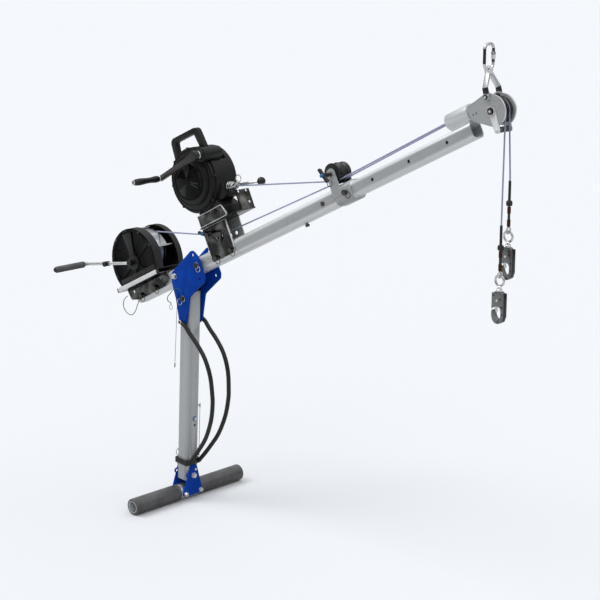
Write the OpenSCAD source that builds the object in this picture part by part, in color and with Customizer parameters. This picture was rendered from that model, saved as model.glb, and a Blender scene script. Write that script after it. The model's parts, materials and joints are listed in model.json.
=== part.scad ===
// Pole hoist: a folding davit on a cross bar, with a telescopic boom, a drum winch,
// a retrieval block and two rescue hooks. Sizes in millimetres, +Z up.
// The origin is the middle of the cross bar; the boom's head points along +X.

/* [Part] */
// Sub-part to draw, or all of them

/* [Foot] */
// Length of the cross bar
foot_l = 570; // [480:10:700]
// Outer diameter of the cross bar's pipe
pipe_od = 48.3; // [44:0.1:50]
// Wall of the cross bar's pipe
pipe_wall = 3.5; // [2.5:0.1:5]
// Outer diameter of the rubber sleeves
sleeve_od = 66; // [58:1:72]
// Thickness of the foot plates
foot_plate_t = 6; // [4:0.5:8]

/* [Mast] */
// Width of the square mast tube
mast_w = 63.5; // [60:0.1:64]
// Wall of the mast and boom tubes
tube_wall = 3.2; // [2.5:0.1:3.3]
// Height of the mast tube's top above the cross bar
mast_top = 838; // [800:2:900]
// Lean of the mast towards the head, in degrees
lean = 3; // [0:0.5:5]
// Diameter of the two hoses
hose_d = 13; // [10:0.5:14]

/* [Boom] */
// Rise of the boom above level, in degrees
rise = 26.3; // [22:0.1:30]
// Width of the outer boom tube
boom_w = 63.5; // [62:0.1:64]
// Reach of the outer tube in front of the pivot
boom_front = 1030; // [1030:5:1060]
// Tail of the outer tube behind the pivot
boom_tail = 283; // [270:1:330]
// Width of the sliding inner tube
inner_w = 56.4; // [54:0.1:56.4]
// Reach of the sliding tube in front of the pivot
inner_front = 1607; // [1560:1:1680]

/* [Lines] */
// Diameter of the lifting lines
line_d = 5.5; // [4.5:0.1:6]
// Drop of the near hook's line below the head wheel
near_drop = 527; // [500:1:560]
// Drop of the far hook's line below the head wheel
far_drop = 387; // [360:1:420]

/* [Winch] */
// Radius of the winch covers
winch_r = 136; // [134:1:142]
// Length of the winch crank
winch_crank_l = 287; // [240:1:320]
// Diameter of the winch grip
winch_grip_d = 24; // [20:1:30]

/* [Block] */
// Radius of the retrieval block
block_r = 126; // [124:1:130]
// Length of the block's crank
block_crank_l = 223; // [190:1:250]
// Diameter of the block's grip
block_grip_d = 26; // [22:1:30]

/* [Hooks] */
// Width of a hook
hook_w = 50; // [46:1:56]
// Thickness of a hook
hook_t = 16; // [14:1:20]

/* [Hidden] */
$fn = 48;
eps = 0.01;

// Gaps: round parts that turn, pieces that slide past each other, loose pins
run_gap = 0.08;
side_gap = 0.3;
pin_gap = 0.2;

ALU = [0.78, 0.80, 0.82];
STEEL = [0.62, 0.63, 0.65];
BLACK = [0.08, 0.08, 0.09];
RUBBER = [0.16, 0.17, 0.18];
BLUE = [0.04, 0.20, 0.57];
GREEN = [0.20, 0.45, 0.22];
ROPE = [0.50, 0.52, 0.62];
COPPER = [0.45, 0.28, 0.20];
GREY = [0.45, 0.45, 0.47];

// Foot: plates stand either side of the mast, hub between them
plate_in = mast_w/2 + side_gap;
plate_out = plate_in + foot_plate_t;
hub_r = plate_in - 0.05;
hub_l = 108;
foot_bolt_y = 39.5;
foot_bolt_d = 10;
tilt_h = 72;
tilt_d = 12;
lock_y = 6;
lock_h = 98;
pin_d = 12;
foot_outline = [[-53.5, -11], [53.5, -11], [15, 116], [-15, 116]];
foot_outline_r = 10;

// Mast, in its own leaning frame: x across, y along the bar, z up the mast
mast_base = 52;
tube_round = 17;
boom_round = 19;
fold_x = 4;
fold_h = mast_top - 119;
fold_d = 12;
fold_lock_x = 6;
fold_lock_h = mast_top - 26;
collar_base = 118;
collar_h = 22;
hose_y = 53;
hose_fall = fold_h - 130;
// Both hoses bow out to the front; x, and share of the fall from the fold bolt
hose_route = [[12, 0.005], [30, 0.02], [55, 0.06], [100, 0.12], [143, 0.20], [172, 0.31], [182, 0.43],
    [183, 0.50], [172, 0.62], [140, 0.76], [97, 0.87], [66, 0.94], [37.5, 1]];
hose_close = 27;

// Crown: joins mast and boom; outline in the mast's frame, measured from the boom pivot
pivot_x = -46.7;
pivot_h = mast_top + 52.8;
crown_in = mast_w/2 + 6.25;
crown_t = 6;
crown_out = crown_in + crown_t;
crown_boss_in = max(mast_w, boom_w)/2 + side_gap;
pivot_d = 12;
angle_lock = 146;
spare_lock_turns = [17.5, -21];
crown_outline = [[95.5, 128], [-18, 12], [-18, -26], [10, -94], [29, -172], [39, -192], [62, -192],
    [74, -168], [87.5, -66], [172, 15], [172, 36], [130, 107]];
crown_round = [20, 14, 14, 30, 10, 20, 20, 10, 30, 12, 12, 26];

// Boom, in its own rising frame: x along it, y across, z out of its top
boom_half = boom_w/2;
boom_bore = boom_w/2 - tube_wall;
inner_half = inner_w/2;
inner_rear = 700;
inner_holes = [1134, 1315, 1496];
slide_lock = 1004;
sleeve_s = 945;
sleeve_half = boom_half + 4.25;
mid_s = 965;
mid_n = 80;
mid_line_r = 27;
mid_rim_r = 38;
mid_y = 15;
mid_sheave_w = 29.4;
cheek_in = 32.5;
cheek_t = 5;
guide_s = 268;
guide_n = 92;
guide_line_r = 18;
guide_rim_r = 23;
guide_y = 12;
guide_w = 20;
leg_in = boom_half + 0.55;
leg_t = 4;
leg_out = leg_in + leg_t;

// Winch, in the boom's frame: covers round the crank's shaft, drum on its own axle
winch_s = -182;
winch_n = 119;
winch_flat = 53;
near_cover = [-71.5, -33.5];
far_cover = [46, 71.5];
drum_s = -170;
drum_n = 152;
drum_line_r = 77;
drum_rim_r = 84;
drum_y = [-31, 32];
drum_flange_t = 3;
drum_axle_r = 9;
line_lane_y = 25.7;
winding_turns = 7.4;
winding_steps = 24;
winding_pitch = line_d + 0.45;
guard_r = 122;
guard_t = 2.5;
base_s = [-330, -62];
crank_turn = 163.3;
winch_arm_y = -90;

// Retrieval block, in the boom's frame
block_s = 292.5;
block_n = 296;
block_y = [-50, 52];
gear_s = 411;
gear_n = 361;
gear_r = 26;
block_crank_turn = 183;
nozzle_s = 412;
nozzle_n = 225;
nozzle_turn = -17.4;

// Head, in the boom's frame
head_s = inner_front + 106;
head_n = 26;
head_line_r = 38;
head_rim_r = 44;
head_y = 10;
head_sheave_w = 19.6;
head_plate_in = 24;
head_plate_t = 6;
head_plate_out = head_plate_in + head_plate_t;
head_round_r = 52;
bail_s = head_s + 1;
bail_n = 73;
pipe_n = 59;
pipe_r = 28.5;
pipe_s = [inner_front - 93, inner_front + 5];

function unit(v) = v / norm(v);
function turned(p, a) = [p.x*cos(a) - p.y*sin(a), p.x*sin(a) + p.y*cos(a)];
function polar(c, r, a) = [c.x + r*cos(a), c.y + r*sin(a)];
function arc(c, r, a0, a1, n = 12) = [for (i = [0:n]) polar(c, r, a0 + (a1 - a0)*i/n)];

// Corner p between a and b, rounded with radius r where the sides allow it
function corner(a, p, b, r, n) =
    let (u = unit(a - p), v = unit(b - p), half = acos(u*v)/2,
         reach = min(r/tan(half), 0.49*norm(a - p), 0.49*norm(b - p)),
         c = p + unit(u + v)*reach/cos(half),
         from = p + u*reach - c, to = p + v*reach - c,
         sweep = atan2(cross(from, to), from*to))
    [for (i = [0:n]) c + turned(from, sweep*i/n)];
function rounded(pts, r, n = 6) =
    let (k = len(pts))
    [for (i = [0:k - 1])
        each corner(pts[(i + k - 1)%k], pts[i], pts[(i + 1)%k], is_list(r) ? r[i] : r, n)];
function square_outline(w, r) =
    rounded([[-w/2, -w/2], [w/2, -w/2], [w/2, w/2], [-w/2, w/2]], r, 8);

// A smooth curve through every point, with a number of steps between two of them
function blend_at(a, b, c, d, t) =
    0.5*(2*b + (c - a)*t + (2*a - 5*b + 4*c - d)*t*t + (3*b - a - 3*c + d)*t*t*t);
function smooth(pts, steps) =
    let (k = len(pts))
    concat([for (i = [0:k - 2]) for (j = [0:steps - 1])
        blend_at(pts[max(i - 1, 0)], pts[i], pts[i + 1], pts[min(i + 2, k - 1)], j/steps)],
        [pts[k - 1]]);

// The straight line that touches two circles: side is 1 where it runs left of the centre
function touch(c0, r0, side0, c1, r1, side1) =
    let (gap = c1 - c0, far = norm(gap), off = side1*r1 - side0*r0,
         base = atan2(gap.y, gap.x), tilt = asin(off/far), dir = base + tilt,
         normal = [-sin(dir), cos(dir)])
    [c0 + side0*r0*normal, c1 + side1*r1*normal];

// The leaning frame of the mast, and the rising frame of the boom
module mast_frame() rotate([0, lean, 0]) children();
module boom_frame()
    mast_frame() translate([pivot_x, 0, pivot_h]) rotate([0, -rise - lean, 0]) children();
pivot_w = [pivot_x*cos(lean) + pivot_h*sin(lean), 0, pivot_h*cos(lean) - pivot_x*sin(lean)];
function boom_point(s, y, n) =
    pivot_w + [s*cos(rise) - n*sin(rise), y, s*sin(rise) + n*cos(rise)];
function crown_point(s) = [pivot_x + s*cos(rise + lean), pivot_h + s*sin(rise + lean)];

module rod_x(y, z, r, x0, x1)
    translate([x0, y, z]) rotate([0, 90, 0]) cylinder(h = x1 - x0, r = r);
module rod_y(x, z, r, y0, y1)
    translate([x, y1, z]) rotate([90, 0, 0]) cylinder(h = y1 - y0, r = r);
module rod(a, b, r) {
    v = b - a;
    translate(a) rotate([0, acos(v.z/norm(v)), atan2(v.y, v.x)]) cylinder(h = norm(v), r = r);
}
module block(x, y, z)
    translate([x[0], y[0], z[0]]) cube([x[1] - x[0], y[1] - y[0], z[1] - z[0]]);
module slab_y(pts, y0, y1)
    translate([0, y1, 0]) rotate([90, 0, 0]) linear_extrude(y1 - y0) polygon(pts);
module slab_x(pts, x0, x1)
    translate([x0, 0, 0]) rotate([90, 0, 90]) linear_extrude(x1 - x0) polygon(pts);
module hex_y(x, z, r, y0, y1)
    translate([x, y1, z]) rotate([90, 0, 0]) cylinder(h = y1 - y0, r = r, $fn = 6);
module hex_x(y, z, r, x0, x1)
    translate([x0, y, z]) rotate([0, 90, 0]) cylinder(h = x1 - x0, r = r, $fn = 6);

// A round wire bent into a ring in the x-z plane
module ring_y(x, y, z, r, wire)
    translate([x, y, z]) rotate([90, 0, 0]) rotate_extrude() translate([r, 0]) circle(wire, $fn = 24);
module ring_x(x, y, z, r, wire)
    translate([x, y, z]) rotate([0, 90, 0]) rotate_extrude() translate([r, 0]) circle(wire, $fn = 24);

// A round cord along points; ref is any direction that the cord never follows
function cord_dir(pts, i) =
    unit(pts[min(i + 1, len(pts) - 1)] - pts[max(i - 1, 0)]);
function cord_ring(p, t, d, sides, ref) =
    let (u = unit(cross(ref, t)), w = cross(t, u))
    [for (k = [0:sides - 1]) p + d/2*(cos(360*k/sides)*u + sin(360*k/sides)*w)];
module cord(pts, d, sides = 8, ref = [0, 1, 0]) {
    last = len(pts) - 1;
    skin = [for (i = [0:last]) each cord_ring(pts[i], cord_dir(pts, i), d, sides, ref)];
    walls = [for (i = [0:last - 1]) for (k = [0:sides - 1])
        let (a = i*sides + k, b = i*sides + (k + 1)%sides)
        each [[a, a + sides, b + sides], [a, b + sides, b]]];
    front = [for (k = [1:sides - 2]) [0, k, k + 1]];
    back = [for (k = [1:sides - 2]) [last*sides, last*sides + k + 1, last*sides + k]];
    polyhedron(points = skin, faces = concat(walls, front, back));
}

// Hexagon bolts with washers: head on the first side, nut on the second
module bolt_y(x, z, d, y0, y1) {
    rod_y(x, z, d/2, y0 - eps, y1 + eps);
    rod_y(x, z, d, y0 - 2, y0);
    hex_y(x, z, 0.92*d, y0 - 2 - 0.64*d, y0 - 2);
    rod_y(x, z, d, y1, y1 + 2);
    hex_y(x, z, 0.92*d, y1 + 2, y1 + 2 + 0.8*d);
    rod_y(x, z, d/2, y1, y1 + 4 + 0.8*d);
}
module bolt_x(y, z, d, x0, x1) {
    rod_x(y, z, d/2, x0 - eps, x1 + eps);
    rod_x(y, z, d, x0 - 2, x0);
    hex_x(y, z, 0.92*d, x0 - 2 - 0.8*d, x0 - 2);
    rod_x(y, z, d/2, x0 - 4 - 0.8*d, x0);
    rod_x(y, z, d, x1, x1 + 2);
    hex_x(y, z, 0.92*d, x1 + 2, x1 + 2 + 0.64*d);
}

// A quick-release pin along y: shaft, collar, T bar with a button, ring and sprung tip
module pin_shaft(x, z, d, y0, y1) {
    rod_y(x, z, d/2, y0, y1 + 9);
    rod_y(x, z, 0.3*d, y1 + 9 - eps, y1 + 12);
}
module pin_head(x, z, d, y, turn, ring = true) {
    rod_y(x, z, 0.75*d, y - 8, y);
    if (ring) {
        p = polar([x, z], 17, turn);
        ring_y(p.x, y - 5, p.y, 12, 1.4);
    }
}
module tee_head(x, z, d, y, turn) {
    a = polar([x, z], 27, turn);
    b = polar([x, z], -27, turn);
    p = polar([x, z], -36, turn);
    rod_y(x, z, 0.6*d, y - 34, y);
    rod([a.x, y - 32, a.y], [b.x, y - 32, b.y], 4.5);
    rod_y(x, z, 4, y - 42, y - 34 + eps);
    ring_y(p.x, y - 32, p.y, 11.5, 1.4);
}

// Foot: a cross bar that clamps to a rail or drops over two studs
module foot_tube() color(ALU) mast_frame() difference() {
    union() {
        rod_y(0, 0, pipe_od/2, -foot_l/2, foot_l/2);
        rod_y(0, 0, hub_r, -hub_l/2, hub_l/2);
    }
    rod_y(0, 0, pipe_od/2 - pipe_wall, -foot_l/2 - 1, -hub_l/2);
    rod_y(0, 0, pipe_od/2 - pipe_wall, hub_l/2, foot_l/2 + 1);
    for (side = [-1, 1]) rod_x(side*foot_bolt_y, 0, foot_bolt_d/2, -hub_r, hub_r);
}
module foot_sleeves() color(RUBBER) mast_frame() for (side = [-1, 1]) difference() {
    y0 = min(side*hub_l/2, side*foot_l/2);
    y1 = max(side*hub_l/2, side*foot_l/2);
    rod_y(0, 0, sleeve_od/2, y0, y1);
    rod_y(0, 0, pipe_od/2, y0 - 1, y1 + 1);
}
module foot_plates() color(BLUE) mast_frame() for (side = [-1, 1]) difference() {
    x0 = min(side*plate_in, side*plate_out);
    x1 = max(side*plate_in, side*plate_out);
    union() {
        slab_x(rounded(foot_outline, foot_outline_r), x0, x1);
        // Ear for the lock pin when the mast lies down along the bar
        rod_x(tilt_h - lock_h, tilt_h + lock_y, 11, x0, x1);
    }
    for (y = [-foot_bolt_y, foot_bolt_y]) rod_x(y, 0, foot_bolt_d/2, x0 - 1, x1 + 1);
    rod_x(0, tilt_h, tilt_d/2, x0 - 1, x1 + 1);
    rod_x(lock_y, lock_h, pin_d/2, x0 - 1, x1 + 1);
    rod_x(tilt_h - lock_h, tilt_h + lock_y, pin_d/2, x0 - 1, x1 + 1);
}
module foot_bolts() color(STEEL) mast_frame() {
    for (y = [-foot_bolt_y, foot_bolt_y]) bolt_x(y, 0, foot_bolt_d, -plate_out, plate_out);
    bolt_x(0, tilt_h, tilt_d, -plate_out, plate_out);
}
// The lock pin is drawn as its head and its tip, so that the mast can tilt
module foot_lock_pin() color(STEEL) mast_frame() {
    rod_x(lock_y, lock_h, 0.75*pin_d, -plate_out - 9, -plate_out);
    rod_x(lock_y, lock_h, pin_d/2, -plate_out - eps, -plate_in);
    ring_x(-plate_out - 5, lock_y - 12, lock_h + 10, 12, 1.4);
    rod_x(lock_y, lock_h, pin_d/2, plate_in, plate_out + 8);
}

// Mast: a square tube that leans a little towards the head
module mast_tube() color(ALU) mast_frame() difference() {
    translate([0, 0, mast_base]) linear_extrude(mast_top - mast_base) difference() {
        polygon(square_outline(mast_w, tube_round));
        polygon(square_outline(mast_w - 2*tube_wall, tube_round - tube_wall));
    }
    rod_x(0, tilt_h, tilt_d/2 + run_gap, -mast_w, mast_w);
    rod_x(lock_y, lock_h, pin_d/2 + pin_gap, -mast_w, mast_w);
    rod_x(-10, 167, 5, -mast_w, 0);
    rod_x(5, 311, 4, 0, mast_w);
    rod_x(6, 283, 5, 0, mast_w);
    rod_y(fold_x, fold_h, fold_d/2, -mast_w, mast_w);
    rod_y(fold_lock_x, fold_lock_h, pin_d/2 + pin_gap, -mast_w, mast_w);
}
module mast_cap() color(BLACK) mast_frame() {
    translate([0, 0, mast_top]) linear_extrude(8) polygon(square_outline(mast_w, tube_round));
    translate([0, 0, mast_top - 12]) linear_extrude(12 + eps)
        polygon(square_outline(mast_w - 2*tube_wall - 0.1, tube_round - tube_wall));
}
// Spring pull pin at the rear, screw with a washer in front, and the fold bolt
module mast_fasteners() color(STEEL) mast_frame() {
    half = mast_w/2;
    rod_x(-10, 167, 5, -half - 14, -half + tube_wall);
    rod_x(-10, 167, 9, -half - 8, -half);
    ring_x(-half - 11, -10, 153, 14, 1.6);
    rod_x(5, 311, 4, half - tube_wall, half + 6);
    rod_x(5, 311, 9, half, half + 2.5);
    rod_x(5, 311, 7, half + 2.5 - eps, half + 6);
    rod_y(fold_x, fold_h, fold_d/2, -hose_y - 8, hose_y + 8);
    for (side = [-1, 1]) difference() {
        rod([fold_x, side*hose_y, fold_h], [30, side*hose_y, fold_h - 12], hose_d/2 + 1.5);
        rod([11, side*hose_y, fold_h - 2], [45, side*hose_y, fold_h - 19], hose_d/2 + 0.1);
    }
}
function hose_points(side) = smooth([for (p = hose_route)
    [p.x + (side < 0 ? 6 : -4)*sin(180*p.y), side*(hose_y - hose_close*p.y*p.y),
        fold_h - hose_fall*p.y]], 2);
module hoses() color(BLACK) mast_frame() for (side = [-1, 1]) cord(hose_points(side), hose_d, 10);
collar_w = mast_w + 11.5;
module hose_collar() color(RUBBER) mast_frame() difference() {
    translate([0, 0, collar_base]) linear_extrude(collar_h)
        polygon(square_outline(collar_w, 8));
    translate([0, 0, collar_base - 1]) linear_extrude(collar_h + 2)
        polygon(square_outline(mast_w, tube_round));
}
// Thin steel safety wire beside the mast's front edge, with crimps
wire_top = [34, 30, 371];
wire_end = [37, 27, 150];
module mast_wire() color(STEEL) mast_frame() {
    rod(wire_end, wire_top, 1.1);
    rod(wire_end, wire_end + [0, 0, 16], 2.4);
    rod(wire_top - [0, 0, 16], wire_top, 2.4);
    eye = [wire_top.x, wire_top.y, wire_top.z - 8];
    corner_axis = [mast_w/2 - tube_round, mast_w/2 - tube_round, eye.z];
    rod(corner_axis + (tube_round - 0.05)*unit(eye - corner_axis), eye, 2);
}

// Crown: two plates that carry the boom's pivot and fold over on the mast
lock_angles = [for (a = concat([0], spare_lock_turns)) rise + lean + a];
module crown_plates() color(BLUE) mast_frame() for (side = [-1, 1]) {
    out = side*crown_out;
    in = side*crown_in;
    boss = side*crown_boss_in;
    lock = crown_point(angle_lock);
    difference() {
        union() {
            translate([pivot_x, 0, pivot_h])
                slab_y(rounded(crown_outline, crown_round), min(in, out), max(in, out));
            for (p = [[pivot_x, pivot_h], lock, [fold_lock_x, fold_lock_h], [fold_x, fold_h]])
                rod_y(p.x, p.y, 11, min(boss, out), max(boss, out));
        }
        rod_y(pivot_x, pivot_h, pivot_d/2, -60, 60);
        for (a = lock_angles) {
            p = polar([pivot_x, pivot_h], angle_lock, a);
            rod_y(p.x, p.y, pin_d/2, -60, 60);
        }
        rod_y(fold_lock_x, fold_lock_h, pin_d/2, -60, 60);
        rod_y(fold_x, fold_h, fold_d/2 + run_gap, -60, 60);
    }
}
// The pivot pin runs right through; the two lock pins are drawn as heads and tips
module crown_pins() color(STEEL) mast_frame() {
    lock = crown_point(angle_lock);
    bolt_y(pivot_x, pivot_h, pivot_d, -crown_out, crown_out);
    for (p = [lock, [fold_lock_x, fold_lock_h]]) {
        rod_y(p.x, p.y, pin_d/2, -crown_out - 12, -crown_boss_in);
        rod_y(p.x, p.y, 0.8*pin_d, -crown_out - 12, -crown_out);
        rod_y(p.x, p.y, pin_d/2, crown_boss_in, crown_out + 9);
    }
    ring_y(lock.x + 14, -crown_out - 8, lock.y - 10, 12, 1.4);
    ring_y(fold_lock_x - 12, -crown_out - 8, fold_lock_h - 14, 12, 1.4);
}
crown_cord = [[9, -57, 814], [14, -59, 832], [8, -60, 847], [-10, -61, 853], [-32, -61, 845],
    [-54, -61, 822], [-70, -60, 802],
    [-66, -60, 790], [-48, -60, 785]];
module crown_lanyard() color(GREEN) mast_frame()
    translate([0, 0, mast_top - 838]) {
        cord(smooth(crown_cord, 2), 2, 6);
        ring_y(-48, -60, 770, 13, 1.2);
    }
module crown_wire() color(STEEL) mast_frame() {
    wire_y = -crown_out - 2.3;
    top = [-26, wire_y, mast_top - 14];
    end = [-35, wire_y, mast_top - 317];
    rod(end, top, 1);
    rod(end, end + 16*unit(top - end), 2.2);
    rod(top - 16*unit(top - end), top, 2.2);
}

// Boom: a square tube with a sliding tube inside it
module square_tube(w, wall, r, s0, s1)
    translate([s0, 0, 0]) rotate([90, 0, 90]) linear_extrude(s1 - s0) difference() {
        polygon(square_outline(w, r));
        polygon(square_outline(w - 2*wall, r - wall));
    }
winch_pins = [[-145, -3], [-243, -7]];
leg_pins = [[256, -5], [350, -3]];
module boom_outer() color(ALU) boom_frame() difference() {
    square_tube(boom_w, tube_wall, boom_round, -boom_tail, boom_front);
    rod_y(0, 0, pivot_d/2 + run_gap, -boom_w, boom_w);
    for (s = [angle_lock, slide_lock, -95.5, 60]) rod_y(s, 0, pin_d/2 + pin_gap, -boom_w, boom_w);
    for (p = concat(winch_pins, leg_pins)) rod_y(p.x, p.y, pin_d/2, -boom_w, boom_w);
    rod_y(877, 0, 5, -boom_w, 0);
    translate([740, 0, -boom_w]) cylinder(h = boom_w, r = 4);
}
module boom_inner() color(ALU) boom_frame() difference() {
    square_tube(inner_w, tube_wall, boom_round - tube_wall, inner_rear, inner_front);
    for (s = concat([slide_lock], inner_holes)) rod_y(s, 0, pin_d/2 + pin_gap, -boom_w, boom_w);
}

// Grooved wheel on a plain bore; the line lies in the groove
module sheave(s, n, y0, y1, line_r, rim_r, bore_r) {
    mid = (y0 + y1)/2;
    half = (y1 - y0)/2;
    deep = line_r - line_d/2 - side_gap;
    lip = min(3, half - line_d/2 - 1);
    side = [[bore_r, -half], [rim_r, -half], [rim_r, -half + lip], [deep, -line_d/2 - 0.5]];
    up = [for (i = [len(side) - 1:-1:0]) [side[i].x, -side[i].y]];
    translate([s, mid, n]) rotate([90, 0, 0]) rotate_extrude($fn = 72) polygon(concat(side, up));
}
mid_axle_r = 6;
module pulley_bracket() color(STEEL) boom_frame() difference() {
    cheek = concat([[942, -5], [985, -5], [985, 60]], arc([mid_s, mid_n], 20, 0, 180, 16), [[942, 60]]);
    union() {
        translate([sleeve_s, 0, 0]) rotate([90, 0, 90]) linear_extrude(boom_front - sleeve_s)
            polygon(square_outline(2*sleeve_half, boom_round + 4));
        for (side = [-1, 1])
            slab_y(cheek, min(side*cheek_in, side*(cheek_in + cheek_t)),
                max(side*cheek_in, side*(cheek_in + cheek_t)));
    }
    translate([sleeve_s - 10, 0, 0]) rotate([90, 0, 90]) linear_extrude(boom_front - sleeve_s + 20)
        polygon(square_outline(boom_w, boom_round));
    rod_y(mid_s, mid_n, mid_axle_r, -60, 60);
    rod_y(slide_lock, 0, pin_d/2, -60, 60);
}
module mid_sheave_near() color(BLACK) boom_frame()
    sheave(mid_s, mid_n, -mid_y - mid_sheave_w/2, -mid_y + mid_sheave_w/2, mid_line_r, mid_rim_r,
        mid_axle_r + run_gap);
module mid_sheave_far() color(BLACK) boom_frame()
    sheave(mid_s, mid_n, mid_y - mid_sheave_w/2, mid_y + mid_sheave_w/2, mid_line_r, mid_rim_r,
        mid_axle_r + run_gap);
module guide_sheave() color(BLACK) boom_frame()
    sheave(guide_s, guide_n, guide_y - guide_w/2, guide_y + guide_w/2, guide_line_r, guide_rim_r,
        pin_d/2 + run_gap);

// Pins of the boom: axles right through, the slide's lock as head and tip
module boom_pins() color(STEEL) boom_frame() {
    cheek_out = cheek_in + cheek_t;
    for (p = concat(winch_pins, leg_pins)) {
        pin_shaft(p.x, p.y, pin_d, -leg_out, leg_out);
        pin_head(p.x, p.y, pin_d, -leg_out, -60);
    }
    pin_shaft(guide_s, guide_n, pin_d, -leg_out, leg_out);
    tee_head(guide_s, guide_n, pin_d, -leg_out, 150);
    difference() {
        union() {
            rod_y(guide_s, guide_n, 10, -leg_in, guide_y - guide_w/2 - side_gap);
            rod_y(guide_s, guide_n, 10, guide_y + guide_w/2 + side_gap, leg_in);
        }
        rod_y(guide_s, guide_n, pin_d/2, -60, 60);
    }
    pin_shaft(mid_s, mid_n, 2*mid_axle_r, -cheek_out, cheek_out);
    tee_head(mid_s, mid_n, 2*mid_axle_r, -cheek_out, 110);
    rod_y(slide_lock, 0, pin_d/2, -sleeve_half - 12, -boom_bore - 0.2);
    rod_y(slide_lock, 0, 0.8*pin_d, -sleeve_half - 12, -sleeve_half);
    ring_y(slide_lock + 13, -sleeve_half - 8, -13, 12, 1.4);
    rod_y(slide_lock, 0, pin_d/2, boom_bore + 0.2, sleeve_half + 9);
    rod_y(877, 0, 5, -boom_half - 3, -boom_bore);
    rod_y(877, 0, 8, -boom_half - 3, -boom_half);
    translate([740, 0, -boom_half - 13]) cylinder(h = 13 + tube_wall, r = 4);
    translate([740, 0, -boom_half - 13]) cylinder(h = 9, r = 8);
    rod_y(346, 155, 4, -58, -44);
    ring_y(352, -55, 142, 10, 1.2);
}

// Winch: stainless saddle on the boom, base with two side bars, covers and drum
saddle_outline = [[-318, 35], [-318, 25], [-311, -7], [-256, -21], [-78, -17], [-48, -3], [-48, 35]];
saddle_top = boom_half + 0.25;
module winch_bracket() color(STEEL) boom_frame() difference() {
    union() {
        for (side = [-1, 1]) slab_y(rounded(saddle_outline, [3, 3, 8, 14, 14, 8, 3]),
            min(side*leg_in, side*leg_out), max(side*leg_in, side*leg_out));
        block([-318, -48], [-leg_out, leg_out], [saddle_top, 35]);
    }
    for (p = winch_pins) rod_y(p.x, p.y, pin_d/2, -60, 60);
    for (p = [[-95.5, 20], [-280, 18]]) rod_y(p.x, p.y, 6, -60, 60);
}
module winch_base() color(STEEL) boom_frame() {
    block(base_s, [-62, 62], [35, 39]);
    for (side = [-1, 1]) block(base_s, [side*68 - 7.5, side*68 + 7.5], [35, winch_flat]);
    for (s = [-300, -200, -100]) for (side = [-1, 1])
        translate([s, side*48, 39 - eps]) cylinder(h = 6, r = 6, $fn = 6);
}
module cover(y0, y1, face, open) difference() {
    union() {
        difference() {
            rod_y(winch_s, winch_n, winch_r, y0, y1);
            rod_y(winch_s, winch_n, winch_r - 11, min(face - 3, face + 3), max(face - 3, face + 3));
            rod_y(winch_s, winch_n, winch_r - 5, min(open[0], open[1]), max(open[0], open[1]));
        }
        rod_y(drum_s, drum_n, 16, y0 + 2, y1);
    }
    block([-400, 50], [-100, 100], [-50, winch_flat + 4]);
}
module winch_covers() color(BLACK) boom_frame() {
    near_face = near_cover[0] + 6;
    far_face = far_cover[1] - 6;
    difference() {
        union() {
            cover(near_cover[0], near_cover[1], near_cover[0] + 2.9, [near_face + 4, near_cover[1] + 1]);
            intersection() {
                union() {
                    rod_y(winch_s, winch_n, 30, near_cover[0] - 2, near_face + 1);
                    for (a = [20, 80, 140, 200, 260, 320]) translate([winch_s, near_face, winch_n])
                        rotate([0, -a, 0]) block([20, winch_r - 8], [-4, 1], [-6, 6]);
                }
                block([-400, 50], [-100, 100], [winch_flat + 4, 300]);
            }
            rod_y(winch_s, winch_n, 14, near_face, near_cover[1]);
        }
        rod_y(winch_s, winch_n, 8 + run_gap, -100, 0);
        rod_y(drum_s, drum_n, drum_axle_r, near_face + 2, 0);
    }
    difference() {
        cover(far_cover[0], far_cover[1], far_cover[1] - 2.9, [far_cover[0] - 1, far_face - 4]);
        rod_y(drum_s, drum_n, drum_axle_r, 0, far_face - 2);
    }
    half_floor = sqrt(pow(winch_r, 2) - pow(winch_n - winch_flat - 4, 2));
    block([winch_s - half_floor, winch_s + half_floor], [near_cover[0], far_cover[1]],
        [winch_flat, winch_flat + 4 + eps]);
}
module winch_guard() color(STEEL) boom_frame() {
    c = [winch_s, winch_n];
    slab_y(concat(arc(c, guard_r, 11, 76, 20), arc(c, guard_r + guard_t, 76, 11, 20)),
        near_cover[1], line_lane_y - line_d/2 - 3.4);
    for (a = [10, 77, 150, 195]) {
        p = polar(c, guard_r + 5, a);
        rod_y(p.x, p.y, 4, near_cover[0] + 10, far_cover[1] - 10);
    }
    rod_y(drum_s, drum_n, drum_axle_r, near_cover[0] + 8, far_cover[1] - 8);
}
// The plain core stands in for the inner layers and clears the outer layer's flats
core_r = drum_line_r*cos(180/winding_steps) - line_d/2 - 0.1;
module winch_drum() color(GREY) boom_frame() difference() {
    union() {
        rod_y(drum_s, drum_n, core_r, drum_y[0], drum_y[1]);
        rod_y(drum_s, drum_n, drum_rim_r, drum_y[0], drum_y[0] + drum_flange_t);
        rod_y(drum_s, drum_n, drum_rim_r, drum_y[1] - drum_flange_t, drum_y[1]);
    }
    rod_y(drum_s, drum_n, drum_axle_r + run_gap, -100, 100);
    // Recess for the crank's pinion on the near side, lightening ring on the far side
    difference() {
        rod_y(drum_s, drum_n, 47, drum_y[0] - 1, -14);
        rod_y(drum_s, drum_n, 20, drum_y[0] - 2, 0);
    }
    difference() {
        rod_y(drum_s, drum_n, core_r - 6, -8, drum_y[1] + 1);
        rod_y(drum_s, drum_n, 20, -9, drum_y[1] + 2);
    }
}
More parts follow.
